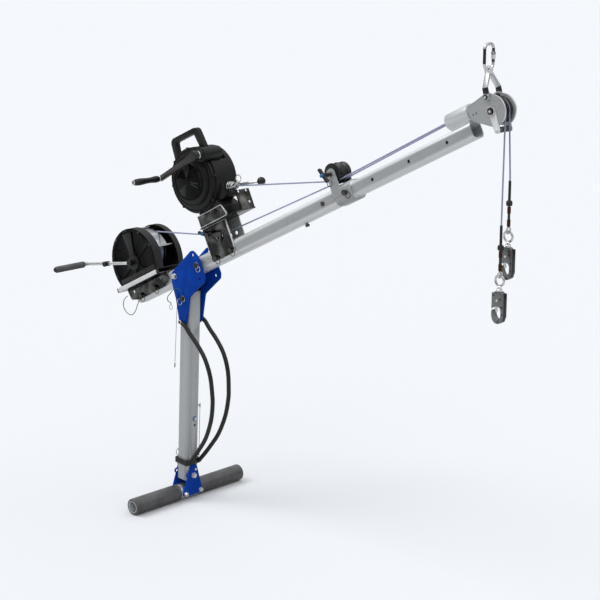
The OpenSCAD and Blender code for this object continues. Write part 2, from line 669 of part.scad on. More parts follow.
// The outer layer of line, one unbroken tube from the near flange to the line's lane
winding_y0 = drum_y[0] + drum_flange_t + 0.4 + line_d/2;
winding_path = [for (i = [0:winding_turns*winding_steps])
    let (a = 80 + 360*i/winding_steps, p = polar([drum_s, drum_n], drum_line_r, a))
    [p.x, winding_y0 + winding_pitch*i/winding_steps, p.y]];
winding_gap = min([for (i = [0:len(winding_path) - winding_steps - 1])
    norm(winding_path[i + winding_steps] - winding_path[i])]) - line_d;
echo(winding_gap = winding_gap);
module winch_winding() color(ROPE) boom_frame()
    cord(winding_path, line_d, 6);
// Crank: shaft with a pinion inside the drum, arm, clamp knob and grip stud
arm_t = 8;
stud_r = 5;
grip_end = -246;
module winch_crank() color(STEEL) boom_frame() {
    c = [winch_s, winch_n];
    end = polar(c, winch_crank_l, crank_turn);
    knob = polar(c, 145, crank_turn);
    rod_y(c.x, c.y, 8, winch_arm_y - 8, -16);
    rod_y(c.x, c.y, 11.4, -30, -16);
    rod_y(c.x, c.y, 13, winch_arm_y - 8, winch_arm_y + 8);
    translate([c.x, winch_arm_y, c.y]) rotate([0, -crank_turn, 0])
        block([-9, winch_crank_l + 9], [-arm_t/2, arm_t/2], [-7, 7]);
    rod_y(knob.x, knob.y, 11, winch_arm_y - 20, winch_arm_y + 6);
    rod_y(end.x, end.y, stud_r, grip_end - 4, winch_arm_y);
    rod_y(end.x, end.y, 8, grip_end - 4, grip_end - side_gap);
}
module winch_grip() color(GREY) boom_frame() {
    end = polar([winch_s, winch_n], winch_crank_l, crank_turn);
    difference() {
        union() {
            rod_y(end.x, end.y, winch_grip_d/2, grip_end + 3, winch_arm_y - arm_t/2 - 4);
            rod_y(end.x, end.y, winch_grip_d/2 - 3, grip_end, winch_arm_y - arm_t/2 - side_gap);
        }
        rod_y(end.x, end.y, stud_r + run_gap, grip_end - 1, 0);
    }
}
winch_cord = [[-321, 14], [-350, 6], [-366, -16], [-363, -38], [-351, -54], [-336, -62], [-320, -63],
    [-298, -53], [-277, -37], [-262, -27], [-247, -22]];
module winch_lanyard() color(GREEN) boom_frame()
    cord(smooth([for (p = winch_cord) [p.x, -43.5, p.y]], 2), 2, 6);

// Retrieval block and its stainless bracket
leg_outline = [[235, -17], [360, -17], [374, 0], [374, 116], [230, 116], [230, 0]];
flange_outline = [[242, 120], [406, 120], [406, 128], [390, 167], [242, 167]];
module block_bracket() color(STEEL) boom_frame() difference() {
    union() {
        for (side = [-1, 1]) {
            slab_y(rounded(leg_outline, [10, 10, 4, 4, 4, 4]),
                min(side*leg_in, side*leg_out), max(side*leg_in, side*leg_out));
            slab_y(rounded(flange_outline, [3, 6, 6, 10, 10]), side*48 - 2, side*48 + 2);
        }
        block([235, 460], [-50, 50], [116, 120]);
        block([453, 457], [-20, 50], [116, 196]);
        block([230, 234], [-leg_out, leg_out], [60, 118]);
    }
    for (p = leg_pins) rod_y(p.x, p.y, pin_d/2, -60, 60);
    rod_y(guide_s, guide_n, pin_d/2, -60, 60);
    rod_x(13, 86, 8, 225, 240);
    rod_y(346, 155, 4, -60, 60);
    for (p = [[-4, 190], [34, 190], [34, 145]])
        translate([440, p.x, p.y]) rotate([0, 90, 0]) cylinder(h = 30, r = 5);
    for (s = [300, 335]) rod_y(s, 60, 7, -60, 60);
}
nose_outline = [[330, 187], [410, 187], [410, 314], [380, 340], [330, 340]];
foot_block_outline = [[250, 120], [395, 120], [395, 160], [360, 200], [250, 200]];
block_cavity_r = 112;
module block_housing() color(BLACK) boom_frame() difference() {
    union() {
        rod_y(block_s, block_n, block_r, block_y[0], block_y[1]);
        // Stepped front cover
        rod_y(block_s, block_n, 118, block_y[0] - 12, block_y[0]);
        rod_y(block_s, block_n, 96, block_y[0] - 24, block_y[0]);
        rod_y(block_s, block_n, 73, block_y[0] - 36, block_y[0]);
        for (a = [35:45:350]) {
            p = polar([block_s, block_n], 122, a);
            rod_y(p.x, p.y, 6, block_y[0] - 6, block_y[0]);
        }
        slab_y(rounded(nose_outline, [2, 10, 20, 14, 2]), -33, 33);
        slab_y(rounded(foot_block_outline, 8), -42, 42);
        // Lever stub and small knob at the rear
        rod([178, 0, 345], [140, 0, 358], 9);
        rod([172, 0, 290], [146, 0, 295], 8);
    }
    rod_y(block_s, block_n, block_cavity_r, -42, 44);
    rod_y(gear_s, gear_n, gear_r, -100, 30);
    rod_y(block_s, block_n, 8, -60, 50);
    rod_y(346, 155, 4, -60, 60);
    shift_line(knob_rod_r + run_gap, 20);
}
module block_drum() color(GREY) boom_frame() difference() {
    union() {
        rod_y(block_s, block_n, 88, -40, 42);
        rod_y(block_s, block_n, 108, -40, -36);
        rod_y(block_s, block_n, 108, 38, 42);
    }
    difference() {
        rod_y(block_s, block_n, 78, -32, 43);
        rod_y(block_s, block_n, 18, -33, 44);
    }
    rod_y(block_s, block_n, 8 + run_gap, -50, 50);
}
module block_gearbox() color(BLACK) boom_frame() {
    difference() {
        union() {
            rod_y(gear_s, gear_n, gear_r, -88, 2);
            rod_y(gear_s, gear_n, 20, -98, -88 + eps);
        }
        rod_y(gear_s, gear_n, 7 + run_gap, -99, -40);
    }
    // Axle of the block's reel
    rod_y(block_s, block_n, 8, -58, 48);
}
module block_handle() color(BLACK) boom_frame() difference() {
    outer = [[178, 402], [189, 494], [351, 488], [362, 396]];
    inner = [[199, 400], [212, 473], [327, 468], [339, 400]];
    slab_y(rounded(outer, [4, 22, 22, 4]), -11, 11);
    slab_y(rounded(inner, [4, 10, 10, 4]), -12, 12);
    rod_y(block_s, block_n, block_r, -60, 60);
}
nozzle_dir = [cos(nozzle_turn), sin(nozzle_turn)];
function along_nozzle(d) = [nozzle_s, nozzle_n] + d*nozzle_dir;
module block_nozzle() color(STEEL) boom_frame() {
    base = along_nozzle(-2);
    lip = along_nozzle(24);
    front = along_nozzle(44);
    difference() {
        union() {
            rod([base.x, 0, base.y], [lip.x, 0, lip.y], 17);
            rod([lip.x, 0, lip.y], [front.x, 0, front.y], 11);
        }
        rod([base.x - 5, 0, base.y + 1.6], [front.x + 10, 0, front.y - 3.2], line_d/2 + 1.5);
        block([390, 410], [-40, 40], [150, 300]);
    }
    ring_y(483, -8, 232, 13, 2);
    rod([483, -8, 219], [448, -8, 213], 3);
}
// Shift rod with a black ball, pulled out to free the reel
knob_y = 24;
knob_rod_r = 4;
knob_root = [386, 231.4];
knob_tip = [548, 193];
knob_ball_r = 16;
module shift_line(r, more = 0)
    rod([knob_root.x - more, knob_y, knob_root.y + 0.237*more], [knob_tip.x, knob_y, knob_tip.y], r);
module block_knob() color(BLACK) boom_frame() {
    shift_line(knob_rod_r);
    translate([knob_tip.x + 13, knob_y, knob_tip.y - 3]) sphere(r = knob_ball_r, $fn = 32);
}
// Crank of the block: shaft in the gearbox, hub, flat arm and grip stud
block_arm_y = [-122, -110];
module block_crank() color([0.16, 0.14, 0.13]) boom_frame() {
    c = [gear_s, gear_n];
    end = polar(c, block_crank_l, block_crank_turn);
    rod_y(c.x, c.y, 7, -108, -45);
    rod_y(c.x, c.y, 17, -126, -98 - side_gap);
    translate([c.x, 0, c.y]) rotate([0, -block_crank_turn, 0])
        slab_y(rounded([[-18, -15], [60, -11], [block_crank_l + 12, -11], [block_crank_l + 12, 11],
            [60, 11], [-18, 15]], [10, 40, 10, 10, 40, 10]), block_arm_y[0], block_arm_y[1]);
    rod_y(end.x, end.y, stud_r, -254, block_arm_y[0] + 1);
    rod_y(end.x, end.y, 9, -254, -250 - side_gap);
}
module block_grip() color(BLACK) boom_frame() {
    end = polar([gear_s, gear_n], block_crank_l, block_crank_turn);
    r = block_grip_d/2;
    y0 = -250;
    y1 = block_arm_y[0] - side_gap;
    len = y1 - y0;
    // Waisted profile: radius and share of the length
    side = smooth([[r - 3, 0], [r, 0.06], [r - 2.5, 0.35], [r + 0.5, 0.65], [r - 2, 0.88], [r, 1]], 3);
    translate([end.x, y1, end.y]) rotate([90, 0, 0]) rotate_extrude()
        polygon(concat([[stud_r + run_gap, len], [stud_r + run_gap, 0]],
            [for (i = [len(side) - 1:-1:0]) [side[i].x, len*(1 - side[i].y)]]));
}

// Lines behind the head: from the drum and the block, under the wheels, to the head wheels
drum_leave = touch([drum_s, drum_n], drum_line_r, 1, [guide_s, guide_n], guide_line_r, -1);
guide_leave = touch([guide_s, guide_n], guide_line_r, -1, [mid_s, mid_n], mid_line_r, -1);
nozzle_leave = [along_nozzle(44), touch(along_nozzle(44), 0, 1, [mid_s, mid_n], mid_line_r, -1)[1]];
head_reach = touch([mid_s, mid_n], mid_line_r, -1, [head_s, head_n], head_line_r, 1);
function at_y(p, y) = [p.x, y, p.y];
function turn_of(c, p) = atan2(p.y - c.y, p.x - c.x);
function wrap(c, r, from, to, y0, y1, n) =
    let (a0 = turn_of(c, from), a1 = turn_of(c, to))
    [for (i = [0:n]) at_y(polar(c, r, a0 + (a1 - a0)*i/n), y0 + (y1 - y0)*i/n)];
module rear_lines() color(ROPE) boom_frame() {
    guide = [guide_s, guide_n];
    mid = [mid_s, mid_n];
    cord(concat([at_y(drum_leave[0], line_lane_y)],
        wrap(guide, guide_line_r, drum_leave[1], guide_leave[0], guide_y, guide_y, 3),
        wrap(mid, mid_line_r, guide_leave[1], head_reach[0], mid_y, mid_y, 3)), line_d, 8);
    cord(concat([at_y(nozzle_leave[0], 0)],
        wrap(mid, mid_line_r, nozzle_leave[1], head_reach[0], -mid_y, -mid_y, 3)), line_d, 8);
}

// Head: a short pipe on the sliding tube, two side plates, wheels and bolts
module head_pipe() color(ALU) boom_frame() {
    difference() {
        rod([pipe_s[0], 0, pipe_n], [pipe_s[1], 0, pipe_n], pipe_r);
        rod([pipe_s[0] - 1, 0, pipe_n], [pipe_s[1] + 1, 0, pipe_n], pipe_r - 3.5);
    }
    // Weld saddle between the pipe and the tube
    difference() {
        block([pipe_s[0] + 6, inner_front - 6], [-16, 16], [inner_half, pipe_n - 10]);
        rod([pipe_s[0], 0, pipe_n], [pipe_s[1], 0, pipe_n], pipe_r - 1);
    }
}
head_rear = [[head_s - 93, bail_n], [head_s - 87, head_n - 2]];
head_outline = concat(arc([head_s, head_n], head_round_r, -105, 62, 28),
    arc([bail_s, bail_n], 14, 40, 100, 8),
    corner([bail_s, bail_n + 14], head_rear[0], head_rear[1], 8, 6),
    corner(head_rear[0], head_rear[1], [head_s - 13, head_n - head_round_r + 2], 8, 6));
module head_plates() color(ALU) boom_frame() {
    for (side = [-1, 1]) difference() {
        slab_y(head_outline, min(side*head_plate_in, side*head_plate_out),
            max(side*head_plate_in, side*head_plate_out));
        rod_y(head_s, head_n, 6, -60, 60);
        rod_y(bail_s, bail_n, 5, -60, 60);
        for (s = [head_s - 76, head_s - 62]) rod_y(s, pipe_n - 16, 3.5, -60, 60);
    }
    // Hollow plug that joins the plates to the pipe and lets the lines through
    difference() {
        rod([pipe_s[1] - 40, 0, pipe_n], [pipe_s[1] + 38, 0, pipe_n], pipe_r - 3.5);
        rod([pipe_s[0], 0, pipe_n], [pipe_s[1] + 60, 0, pipe_n], 18);
        for (side = [-1, 1]) block([pipe_s[1] + 0.5, pipe_s[1] + 60],
            [min(side*(head_plate_in + 0.5), side*60), max(side*(head_plate_in + 0.5), side*60)], [0, 120]);
    }
}
arm_y = [head_plate_out + side_gap, head_plate_out + 3.3];
bail_y = [head_plate_out + side_gap, head_plate_out + 5.3];
module head_bolts() color(STEEL) boom_frame() {
    bolt_y(head_s, head_n, 12, -arm_y[1] - side_gap, arm_y[1] + side_gap);
    for (side = [-1, 1]) {
        tip = side*(head_plate_in - 3);
        seat = side*(bail_y[1] + side_gap);
        rod_y(bail_s, bail_n, 5, min(tip, seat), max(tip, seat));
        rod_y(bail_s, bail_n, 8, min(tip, side*head_plate_in), max(tip, side*head_plate_in));
        rod_y(bail_s, bail_n, 10, min(seat, seat + side*2), max(seat, seat + side*2));
        hex_y(bail_s, bail_n, 9.2, min(seat, seat + side*8), max(seat, seat + side*8));
    }
    half = head_y + head_sheave_w/2;
    for (side = [-1, 1]) rod_y(head_s, head_n, 10,
        side < 0 ? -head_plate_in : half + side_gap, side < 0 ? -half - side_gap : head_plate_in);
}
module head_sheave_near() color(BLACK) boom_frame()
    sheave(head_s, head_n, -head_y - head_sheave_w/2, -head_y + head_sheave_w/2, head_line_r,
        head_rim_r, 6 + run_gap);
module head_sheave_far() color(BLACK) boom_frame()
    sheave(head_s, head_n, head_y - head_sheave_w/2, head_y + head_sheave_w/2, head_line_r,
        head_rim_r, 6 + run_gap);
module head_lines() color(ROPE) boom_frame() for (side = [-1, 1]) {
    from = at_y(head_reach[0], side*mid_y);
    to = at_y(head_reach[1], side*head_y);
    cord([from + 0.5*unit(to - from), to - 0.5*unit(to - from)], line_d, 8);
}

// Bail over the head, leaning back with its eye above; carabiner through the eye
bail_lean = -15.4;
bail_l = 83;
bail_leg = [[-bail_y[1], -12], [-bail_y[1], 32], [-5, 84], [-5, 68], [-bail_y[0], 27], [-bail_y[0], -12]];
module bail_frame() translate(boom_point(bail_s, 0, bail_n)) rotate([0, bail_lean, 0]) children();
module bail() color(STEEL) bail_frame() difference() {
    union() {
        slab_x(bail_leg, -7, 7);
        slab_x([for (i = [5:-1:0]) [-bail_leg[i].x, bail_leg[i].y]], -7, 7);
        rod_y(0, bail_l, 15, -5, 5);
    }
    rod_y(0, bail_l, 8.5, -10, 10);
    rod_y(0, 0, 5 + run_gap, -60, 60);
}
carabiner_w = 45;
carabiner_h = 80;
carabiner_wire = 5;
carabiner_round = 18;
gate_z = [26, 57];
bail_eye = boom_point(bail_s, 0, bail_n) + bail_l*[sin(bail_lean), 0, cos(bail_lean)];
carabiner_lift = 3.2;
module carabiner_frame()
    translate(bail_eye + [0, 0, carabiner_lift]) rotate([90, 0, 90]) children();
module wire_corner(x, y, a) translate([x, y, 0]) rotate([0, 0, a])
    rotate_extrude(angle = 90) translate([carabiner_round, 0]) circle(carabiner_wire, $fn = 24);
module wire_run(a, b) rod([a.x, a.y, 0], [b.x, b.y, 0], carabiner_wire);
module carabiner() color(STEEL) carabiner_frame() {
    x = carabiner_w/2;
    xi = x - carabiner_round;
    low = carabiner_round;
    top = carabiner_h - carabiner_round;
    wire_corner(xi, low, 270);
    wire_corner(-xi, low, 180);
    wire_corner(xi, top, 0);
    wire_corner(-xi, top, 90);
    wire_run([-xi, 0], [xi, 0]);
    wire_run([-xi, carabiner_h], [xi, carabiner_h]);
    wire_run([-x, low], [-x, top]);
    wire_run([x, low], [x, gate_z[0] - knuckle_r - 0.4]);
    wire_run([x, gate_z[1] + 0.7], [x, top]);
    // Tang and pin of the gate's hinge
    block([x - 2.4, x + 2.4], [low, gate_z[0] + 3.4], [-1.5, 1.5]);
    rod([x, gate_z[0], -4.4], [x, gate_z[0], 4.4], 1.5);
}
knuckle_r = 4.4;
module carabiner_gate() color(STEEL) carabiner_frame() {
    x = carabiner_w/2;
    difference() {
        union() {
            rod([x, gate_z[0], 0], [x, gate_z[1], 0], 4.6);
            rod([x, gate_z[0] + 6, 0], [x, gate_z[1] - 3, 0], 7.5);
            rod([x, gate_z[0], -3.8], [x, gate_z[0], 3.8], knuckle_r);
        }
        block([x - 9, x + 9], [gate_z[0] - 6, gate_z[0] + 5.4], [-1.8, 1.8]);
        rod([x, gate_z[0], -6], [x, gate_z[0], 6], 1.5 + run_gap);
    }
}

// Keeper: a roller on two arms that hangs from the head's axle and guides the lines
keeper_at = [head_s - 4.5, head_n - 63];
module keeper_arms() color(ALU) boom_frame() {
    turn = turn_of([head_s, head_n], keeper_at);
    reach = norm(keeper_at - [head_s, head_n]);
    for (side = [-1, 1]) difference() {
        translate([head_s, 0, head_n]) rotate([0, -turn, 0])
            slab_y(rounded([[-13, -13], [reach + 11, -11], [reach + 11, 11], [-13, 13]],
                [12.5, 10.5, 10.5, 12.5]), min(side*arm_y[0], side*arm_y[1]),
                max(side*arm_y[0], side*arm_y[1]));
        rod_y(head_s, head_n, 6 + run_gap, -60, 60);
    }
    rod_y(keeper_at.x, keeper_at.y, 4, -arm_y[1] - 3, arm_y[1] + 3);
}
module keeper_roller() color(GREY) boom_frame() difference() {
    rod_y(keeper_at.x, keeper_at.y, 9.5, -arm_y[0] + side_gap, arm_y[0] - side_gap);
    rod_y(keeper_at.x, keeper_at.y, 4 + run_gap, -60, 60);
}

// Hanging lines with their fittings, and the hooks on swivels
head_w = boom_point(head_s, 0, head_n);
drop_x = head_w.x + head_line_r;
function thimble_z(drop) = head_w.z - drop;
near_hang_y = -14;
far_hang_y = 24;
function drop_path(y0, y1, drop) = concat(
    [for (i = [0:12]) let (a = (turn_of([head_s, head_n], head_reach[1]) + rise)*(1 - i/12))
        [head_w.x + head_line_r*cos(a), y0, head_w.z + head_line_r*sin(a)]],
    [[drop_x, y1, thimble_z(drop) + 175], [drop_x, y1, thimble_z(drop) + 13]]);
module drop_line_near() color(ROPE)
    cord(drop_path(-head_y, near_hang_y, near_drop), line_d, 8);
module drop_line_far() color(ROPE)
    cord(drop_path(head_y, far_hang_y, far_drop), line_d, 8);
module sleeve_z(y, z0, z1, r) difference() {
    translate([drop_x, y, z0]) cylinder(h = z1 - z0, r = r);
    translate([drop_x, y, z0 - 1]) cylinder(h = z1 - z0 + 2, r = line_d/2);
}
module one_line_fittings(y, z) {
    sleeve_z(y, z + 98, z + 162, 4.6);
    difference() {
        translate([drop_x, y, z + 89]) sphere(r = 9.7, $fn = 32);
        translate([drop_x, y, z + 70]) cylinder(h = 40, r = line_d/2);
    }
    sleeve_z(y, z + 56, z + 78, 5.6);
    sleeve_z(y, z + 13, z + 36, 5.6);
    ring_x(drop_x, y, z, 10, 3);
}
module line_fittings() color(COPPER) {
    one_line_fittings(near_hang_y, thimble_z(near_drop));
    one_line_fittings(far_hang_y, thimble_z(far_drop));
}
eye_below = 19.7;
hook_below = 54.7;
shank_r = 6;
module one_hook_eye(y, z) {
    ring_y(drop_x, y, z - eye_below, 17, 4);
    translate([drop_x, y, z - hook_below - 22]) cylinder(h = 22 + 16, r = shank_r);
    translate([drop_x, y, z - hook_below + side_gap]) cylinder(h = 8, r = 10);
}
module hook_eyes() color(STEEL) {
    one_hook_eye(near_hang_y, thimble_z(near_drop));
    one_hook_eye(far_hang_y, thimble_z(far_drop));
}
// Hook outline, as shares of its half width, and down from the top
hook_outline = [[-0.6, 0], [0.6, 0], [0.88, -20], [1, -40], [1, -82], [0.76, -100], [0.16, -108],
    [-0.4, -107], [-0.84, -97], [-1, -82], [-1, -64], [-0.62, -62], [-0.54, -80], [-0.32, -90],
    [0.08, -94], [0.4, -88], [0.5, -78], [0.5, -44], [0.3, -35], [-0.5, -35], [-0.9, -24]];
gate_pivot = [-15, -27];
gate_outline = [[-20, -22], [-11, -22], [-5, -70], [-12, -70], [-20, -40]];
gate_t = hook_t - 8;
module hook(y, z) translate([drop_x, y, z - hook_below]) {
    half = hook_w/2;
    difference() {
        slab_y(rounded([for (p = hook_outline) [p.x*half, p.y]], 9, 5), -hook_t/2, hook_t/2);
        translate([0, 0, -22 - side_gap]) cylinder(h = 30, r = shank_r + run_gap);
        block([-40, -4], [-gate_t/2 - side_gap, gate_t/2 + side_gap], [-46, -16]);
    }
    rod_y(gate_pivot.x, gate_pivot.y, 2.5, -hook_t/2 - 1, hook_t/2 + 1);
    for (p = [[0.75, -50], [0.1, -101], [0.45, -24]])
        rod_y(p.x*half, p.y, 3.2, -hook_t/2 - 1.5, hook_t/2 + 1.5);
}
module hook_gate(y, z) translate([drop_x, y, z - hook_below]) difference() {
    slab_y(rounded(gate_outline, 3.5), -gate_t/2, gate_t/2);
    rod_y(gate_pivot.x, gate_pivot.y, 2.5 + run_gap, -20, 20);
}
module hook_near() color(GREY) hook(near_hang_y, thimble_z(near_drop));
module hook_far() color(GREY) hook(far_hang_y, thimble_z(far_drop));
module hook_gate_near() color(STEEL) hook_gate(near_hang_y, thimble_z(near_drop));
module hook_gate_far() color(STEEL) hook_gate(far_hang_y, thimble_z(far_drop));

foot_tube();
foot_sleeves();
foot_plates();
foot_bolts();
foot_lock_pin();
mast_tube();
mast_cap();
mast_fasteners();
hoses();
hose_collar();
mast_wire();
crown_plates();
crown_pins();
crown_lanyard();
crown_wire();
boom_outer();
pulley_bracket();
boom_pins();
winch_bracket();
winch_base();
winch_covers();
winch_guard();
winch_lanyard();
winch_drum();
winch_winding();
winch_crank();
winch_grip();
block_bracket();
block_housing();
block_gearbox();
block_handle();
block_nozzle();
block_crank();
block_grip();
block_knob();
block_drum();
rear_lines();
guide_sheave();
mid_sheave_near();
mid_sheave_far();
boom_inner();
head_pipe();
head_plates();
head_bolts();
head_lines();
head_sheave_near();
head_sheave_far();
bail();
carabiner();
carabiner_gate();
keeper_arms();
keeper_roller();
drop_line_near();
drop_line_far();
line_fittings();
hook_eyes();
hook_near();
hook_far();
hook_gate_near();
hook_gate_far();
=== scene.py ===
"""Dresses the folding pole hoist: finishes, worked edges, lines, fasteners and light."""

from __future__ import annotations

import json
import logging
import math
from dataclasses import dataclass
from enum import Enum
from typing import Callable, Iterable, Sequence

import bmesh
import bpy
from mathutils import Matrix, Vector

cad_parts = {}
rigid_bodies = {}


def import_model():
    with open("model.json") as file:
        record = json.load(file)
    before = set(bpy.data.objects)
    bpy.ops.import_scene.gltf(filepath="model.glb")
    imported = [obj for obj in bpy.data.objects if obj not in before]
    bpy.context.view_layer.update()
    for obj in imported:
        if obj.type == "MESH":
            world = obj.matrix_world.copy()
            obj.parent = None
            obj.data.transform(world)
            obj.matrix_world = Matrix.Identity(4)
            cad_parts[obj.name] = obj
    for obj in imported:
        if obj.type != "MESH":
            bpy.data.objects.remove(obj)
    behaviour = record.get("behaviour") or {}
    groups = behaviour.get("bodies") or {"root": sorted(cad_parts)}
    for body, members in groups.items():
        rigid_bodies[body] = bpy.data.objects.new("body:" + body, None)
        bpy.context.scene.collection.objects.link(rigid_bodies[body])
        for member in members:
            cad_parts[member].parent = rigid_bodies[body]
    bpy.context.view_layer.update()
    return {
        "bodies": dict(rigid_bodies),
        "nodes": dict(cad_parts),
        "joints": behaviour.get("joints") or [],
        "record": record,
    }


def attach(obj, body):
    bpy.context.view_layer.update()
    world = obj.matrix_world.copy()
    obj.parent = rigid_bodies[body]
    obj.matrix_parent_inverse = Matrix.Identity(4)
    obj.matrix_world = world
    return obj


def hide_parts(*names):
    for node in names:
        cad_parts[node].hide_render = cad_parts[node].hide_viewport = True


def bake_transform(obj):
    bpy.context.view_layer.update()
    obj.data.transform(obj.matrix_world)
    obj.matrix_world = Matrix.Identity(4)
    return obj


LOG = logging.getLogger("hoist")
MM = 0.001
Pair = tuple[float, float]
Triple = tuple[float, float, float]


@dataclass(frozen=True)
class WorkFrame:
    """A working frame in millimetres: along, across (the row's Y) and up from a tube.

    Attributes:
        origin: The frame's origin in the row frame, in millimetres.
        tilt: How far its first axis rises from the row's X, in degrees.
    """

    origin: Triple = (0.0, 0.0, 0.0)
    tilt: float = 0.0

    def way(self, along: float, across: float, up: float) -> Vector:
        """Returns a direction of this frame in the row frame."""
        c, s = math.cos(math.radians(self.tilt)), math.sin(math.radians(self.tilt))
        return Vector((along * c - up * s, across, along * s + up * c))

    def at(self, along: float, across: float, up: float) -> Vector:
        """Returns a point of this frame in the row frame, in metres."""
        return (Vector(self.origin) + self.way(along, across, up)) * MM

    def read_way(self, way: Vector) -> Vector:
        """Returns a row direction in this frame: along, across, up."""
        return Vector((way.dot(self.way(1, 0, 0)), way.y, way.dot(self.way(0, 0, 1))))

    def read(self, place: Vector) -> Vector:
        """Returns a row point, in metres, in this frame in millimetres."""
        return self.read_way(place / MM - Vector(self.origin))


ROW = WorkFrame()
MAST = WorkFrame(tilt=-3.0)
PIVOT = MAST.at(-46.7, 0.0, 890.8) / MM
RISE = 26.3
BOOM = WorkFrame(origin=tuple(PIVOT), tilt=RISE)

# The wheels, as (along, up) in the boom's frame, and the radii of their grooves
GUIDE, GUIDE_GROOVE = (268.0, 92.0), 18.0
MID, MID_GROOVE = (965.0, 80.0), 27.0
HEAD_AXLE, HEAD_GROOVE = (1713.0, 26.0), 38.0
BAIL_BOLT = (1714.0, 73.0)
LINE_RADIUS, LINE_SIDES = 2.75, 14


def polar(centre: Pair, radius: float, turn: float) -> Pair:
    """Returns the point at a radius and a turn in degrees from a centre."""
    a = math.radians(turn)
    return centre[0] + radius * math.cos(a), centre[1] + radius * math.sin(a)


def turn_of(centre: Pair, point: Pair) -> float:
    """Returns the turn in degrees of a point seen from a centre."""
    return math.degrees(math.atan2(point[1] - centre[1], point[0] - centre[0]))


def touch(c0: Pair, r0: float, side0: int, c1: Pair, r1: float, side1: int) -> tuple[Pair, Pair]:
    """Finds the straight line that touches two circles.

    Args:
        c0: Centre of the first circle.
        r0: Its radius.
        side0: 1 where the line runs left of the centre, -1 where right.
        c1: Centre of the second circle.
        r1: Its radius.
        side1: The side of the second centre.

    Returns:
        The points where the line touches each circle.
    """
    gap = (c1[0] - c0[0], c1[1] - c0[1])
    far = math.hypot(*gap)
    base = math.atan2(gap[1], gap[0]) + math.asin((side1 * r1 - side0 * r0) / far)
    nx, ny = -math.sin(base), math.cos(base)
    first = (c0[0] + side0 * r0 * nx, c0[1] + side0 * r0 * ny)
    return first, (c1[0] + side1 * r1 * nx, c1[1] + side1 * r1 * ny)


def smooth(points: Sequence[Sequence[float]], steps: int) -> list[Vector]:
    """Passes a smooth curve through points.

    Args:
        points: The points that the curve passes through.
        steps: How many short steps replace each stretch.

    Returns:
        The finer list of points.
    """
    pts = [Vector(p) for p in points]
    last = len(pts) - 1
    fine: list[Vector] = []
    for i in range(last):
        a, b, c, d = pts[max(i - 1, 0)], pts[i], pts[i + 1], pts[min(i + 2, last)]
        for j in range(steps):
            t = j / steps
            fine.append(0.5 * (2 * b + (c - a) * t + (2 * a - 5 * b + 4 * c - d) * t * t
                               + (3 * b - a - 3 * c + d) * t ** 3))
    return fine + [pts[last]]


class Value:
    """A shader socket that joins in Python expressions."""

    def __init__(self, tree: bpy.types.NodeTree, socket: bpy.types.NodeSocket) -> None:
        """Keeps the socket and the tree it belongs to."""
        self.tree = tree
        self.socket = socket

    def _maths(self, operation: str, *terms: Value | float) -> Value:
        """Adds one Math node and returns its result."""
        node = self.tree.nodes.new("ShaderNodeMath")
        node.operation = operation
        for slot, term in zip(node.inputs, terms):
            if isinstance(term, Value):
                self.tree.links.new(term.socket, slot)
            else:
                slot.default_value = term
        return Value(self.tree, node.outputs[0])

    def __add__(self, other: Value | float) -> Value:
        """Adds."""
        return self._maths("ADD", self, other)

    __radd__ = __add__

    def __sub__(self, other: Value | float) -> Value:
        """Subtracts."""
        return self._maths("SUBTRACT", self, other)

    def __rsub__(self, other: float) -> Value:
        """Subtracts this from a number."""
        return self._maths("SUBTRACT", other, self)

    def __mul__(self, other: Value | float) -> Value:
        """Multiplies."""
        return self._maths("MULTIPLY", self, other)

    def __truediv__(self, other: Value | float) -> Value:
        """Divides."""
        return self._maths("DIVIDE", self, other)

    def least(self, other: Value | float) -> Value:
        """Returns the smaller of the two."""
        return self._maths("MINIMUM", self, other)

    def size(self) -> Value:
        """Returns this without its sign."""
        return self._maths("ABSOLUTE", self)

    def wave(self) -> Value:
        """Returns the sine of this."""
        return self._maths("SINE", self)

    def ramp(self, low: float, high: float) -> Value:
        """Maps low to 0 and high to 1 and holds both ends."""
        node = self.tree.nodes.new("ShaderNodeMapRange")
        self.tree.links.new(self.socket, node.inputs[0])
        node.inputs[1].default_value = low
        node.inputs[2].default_value = high
        return Value(self.tree, node.outputs[0])


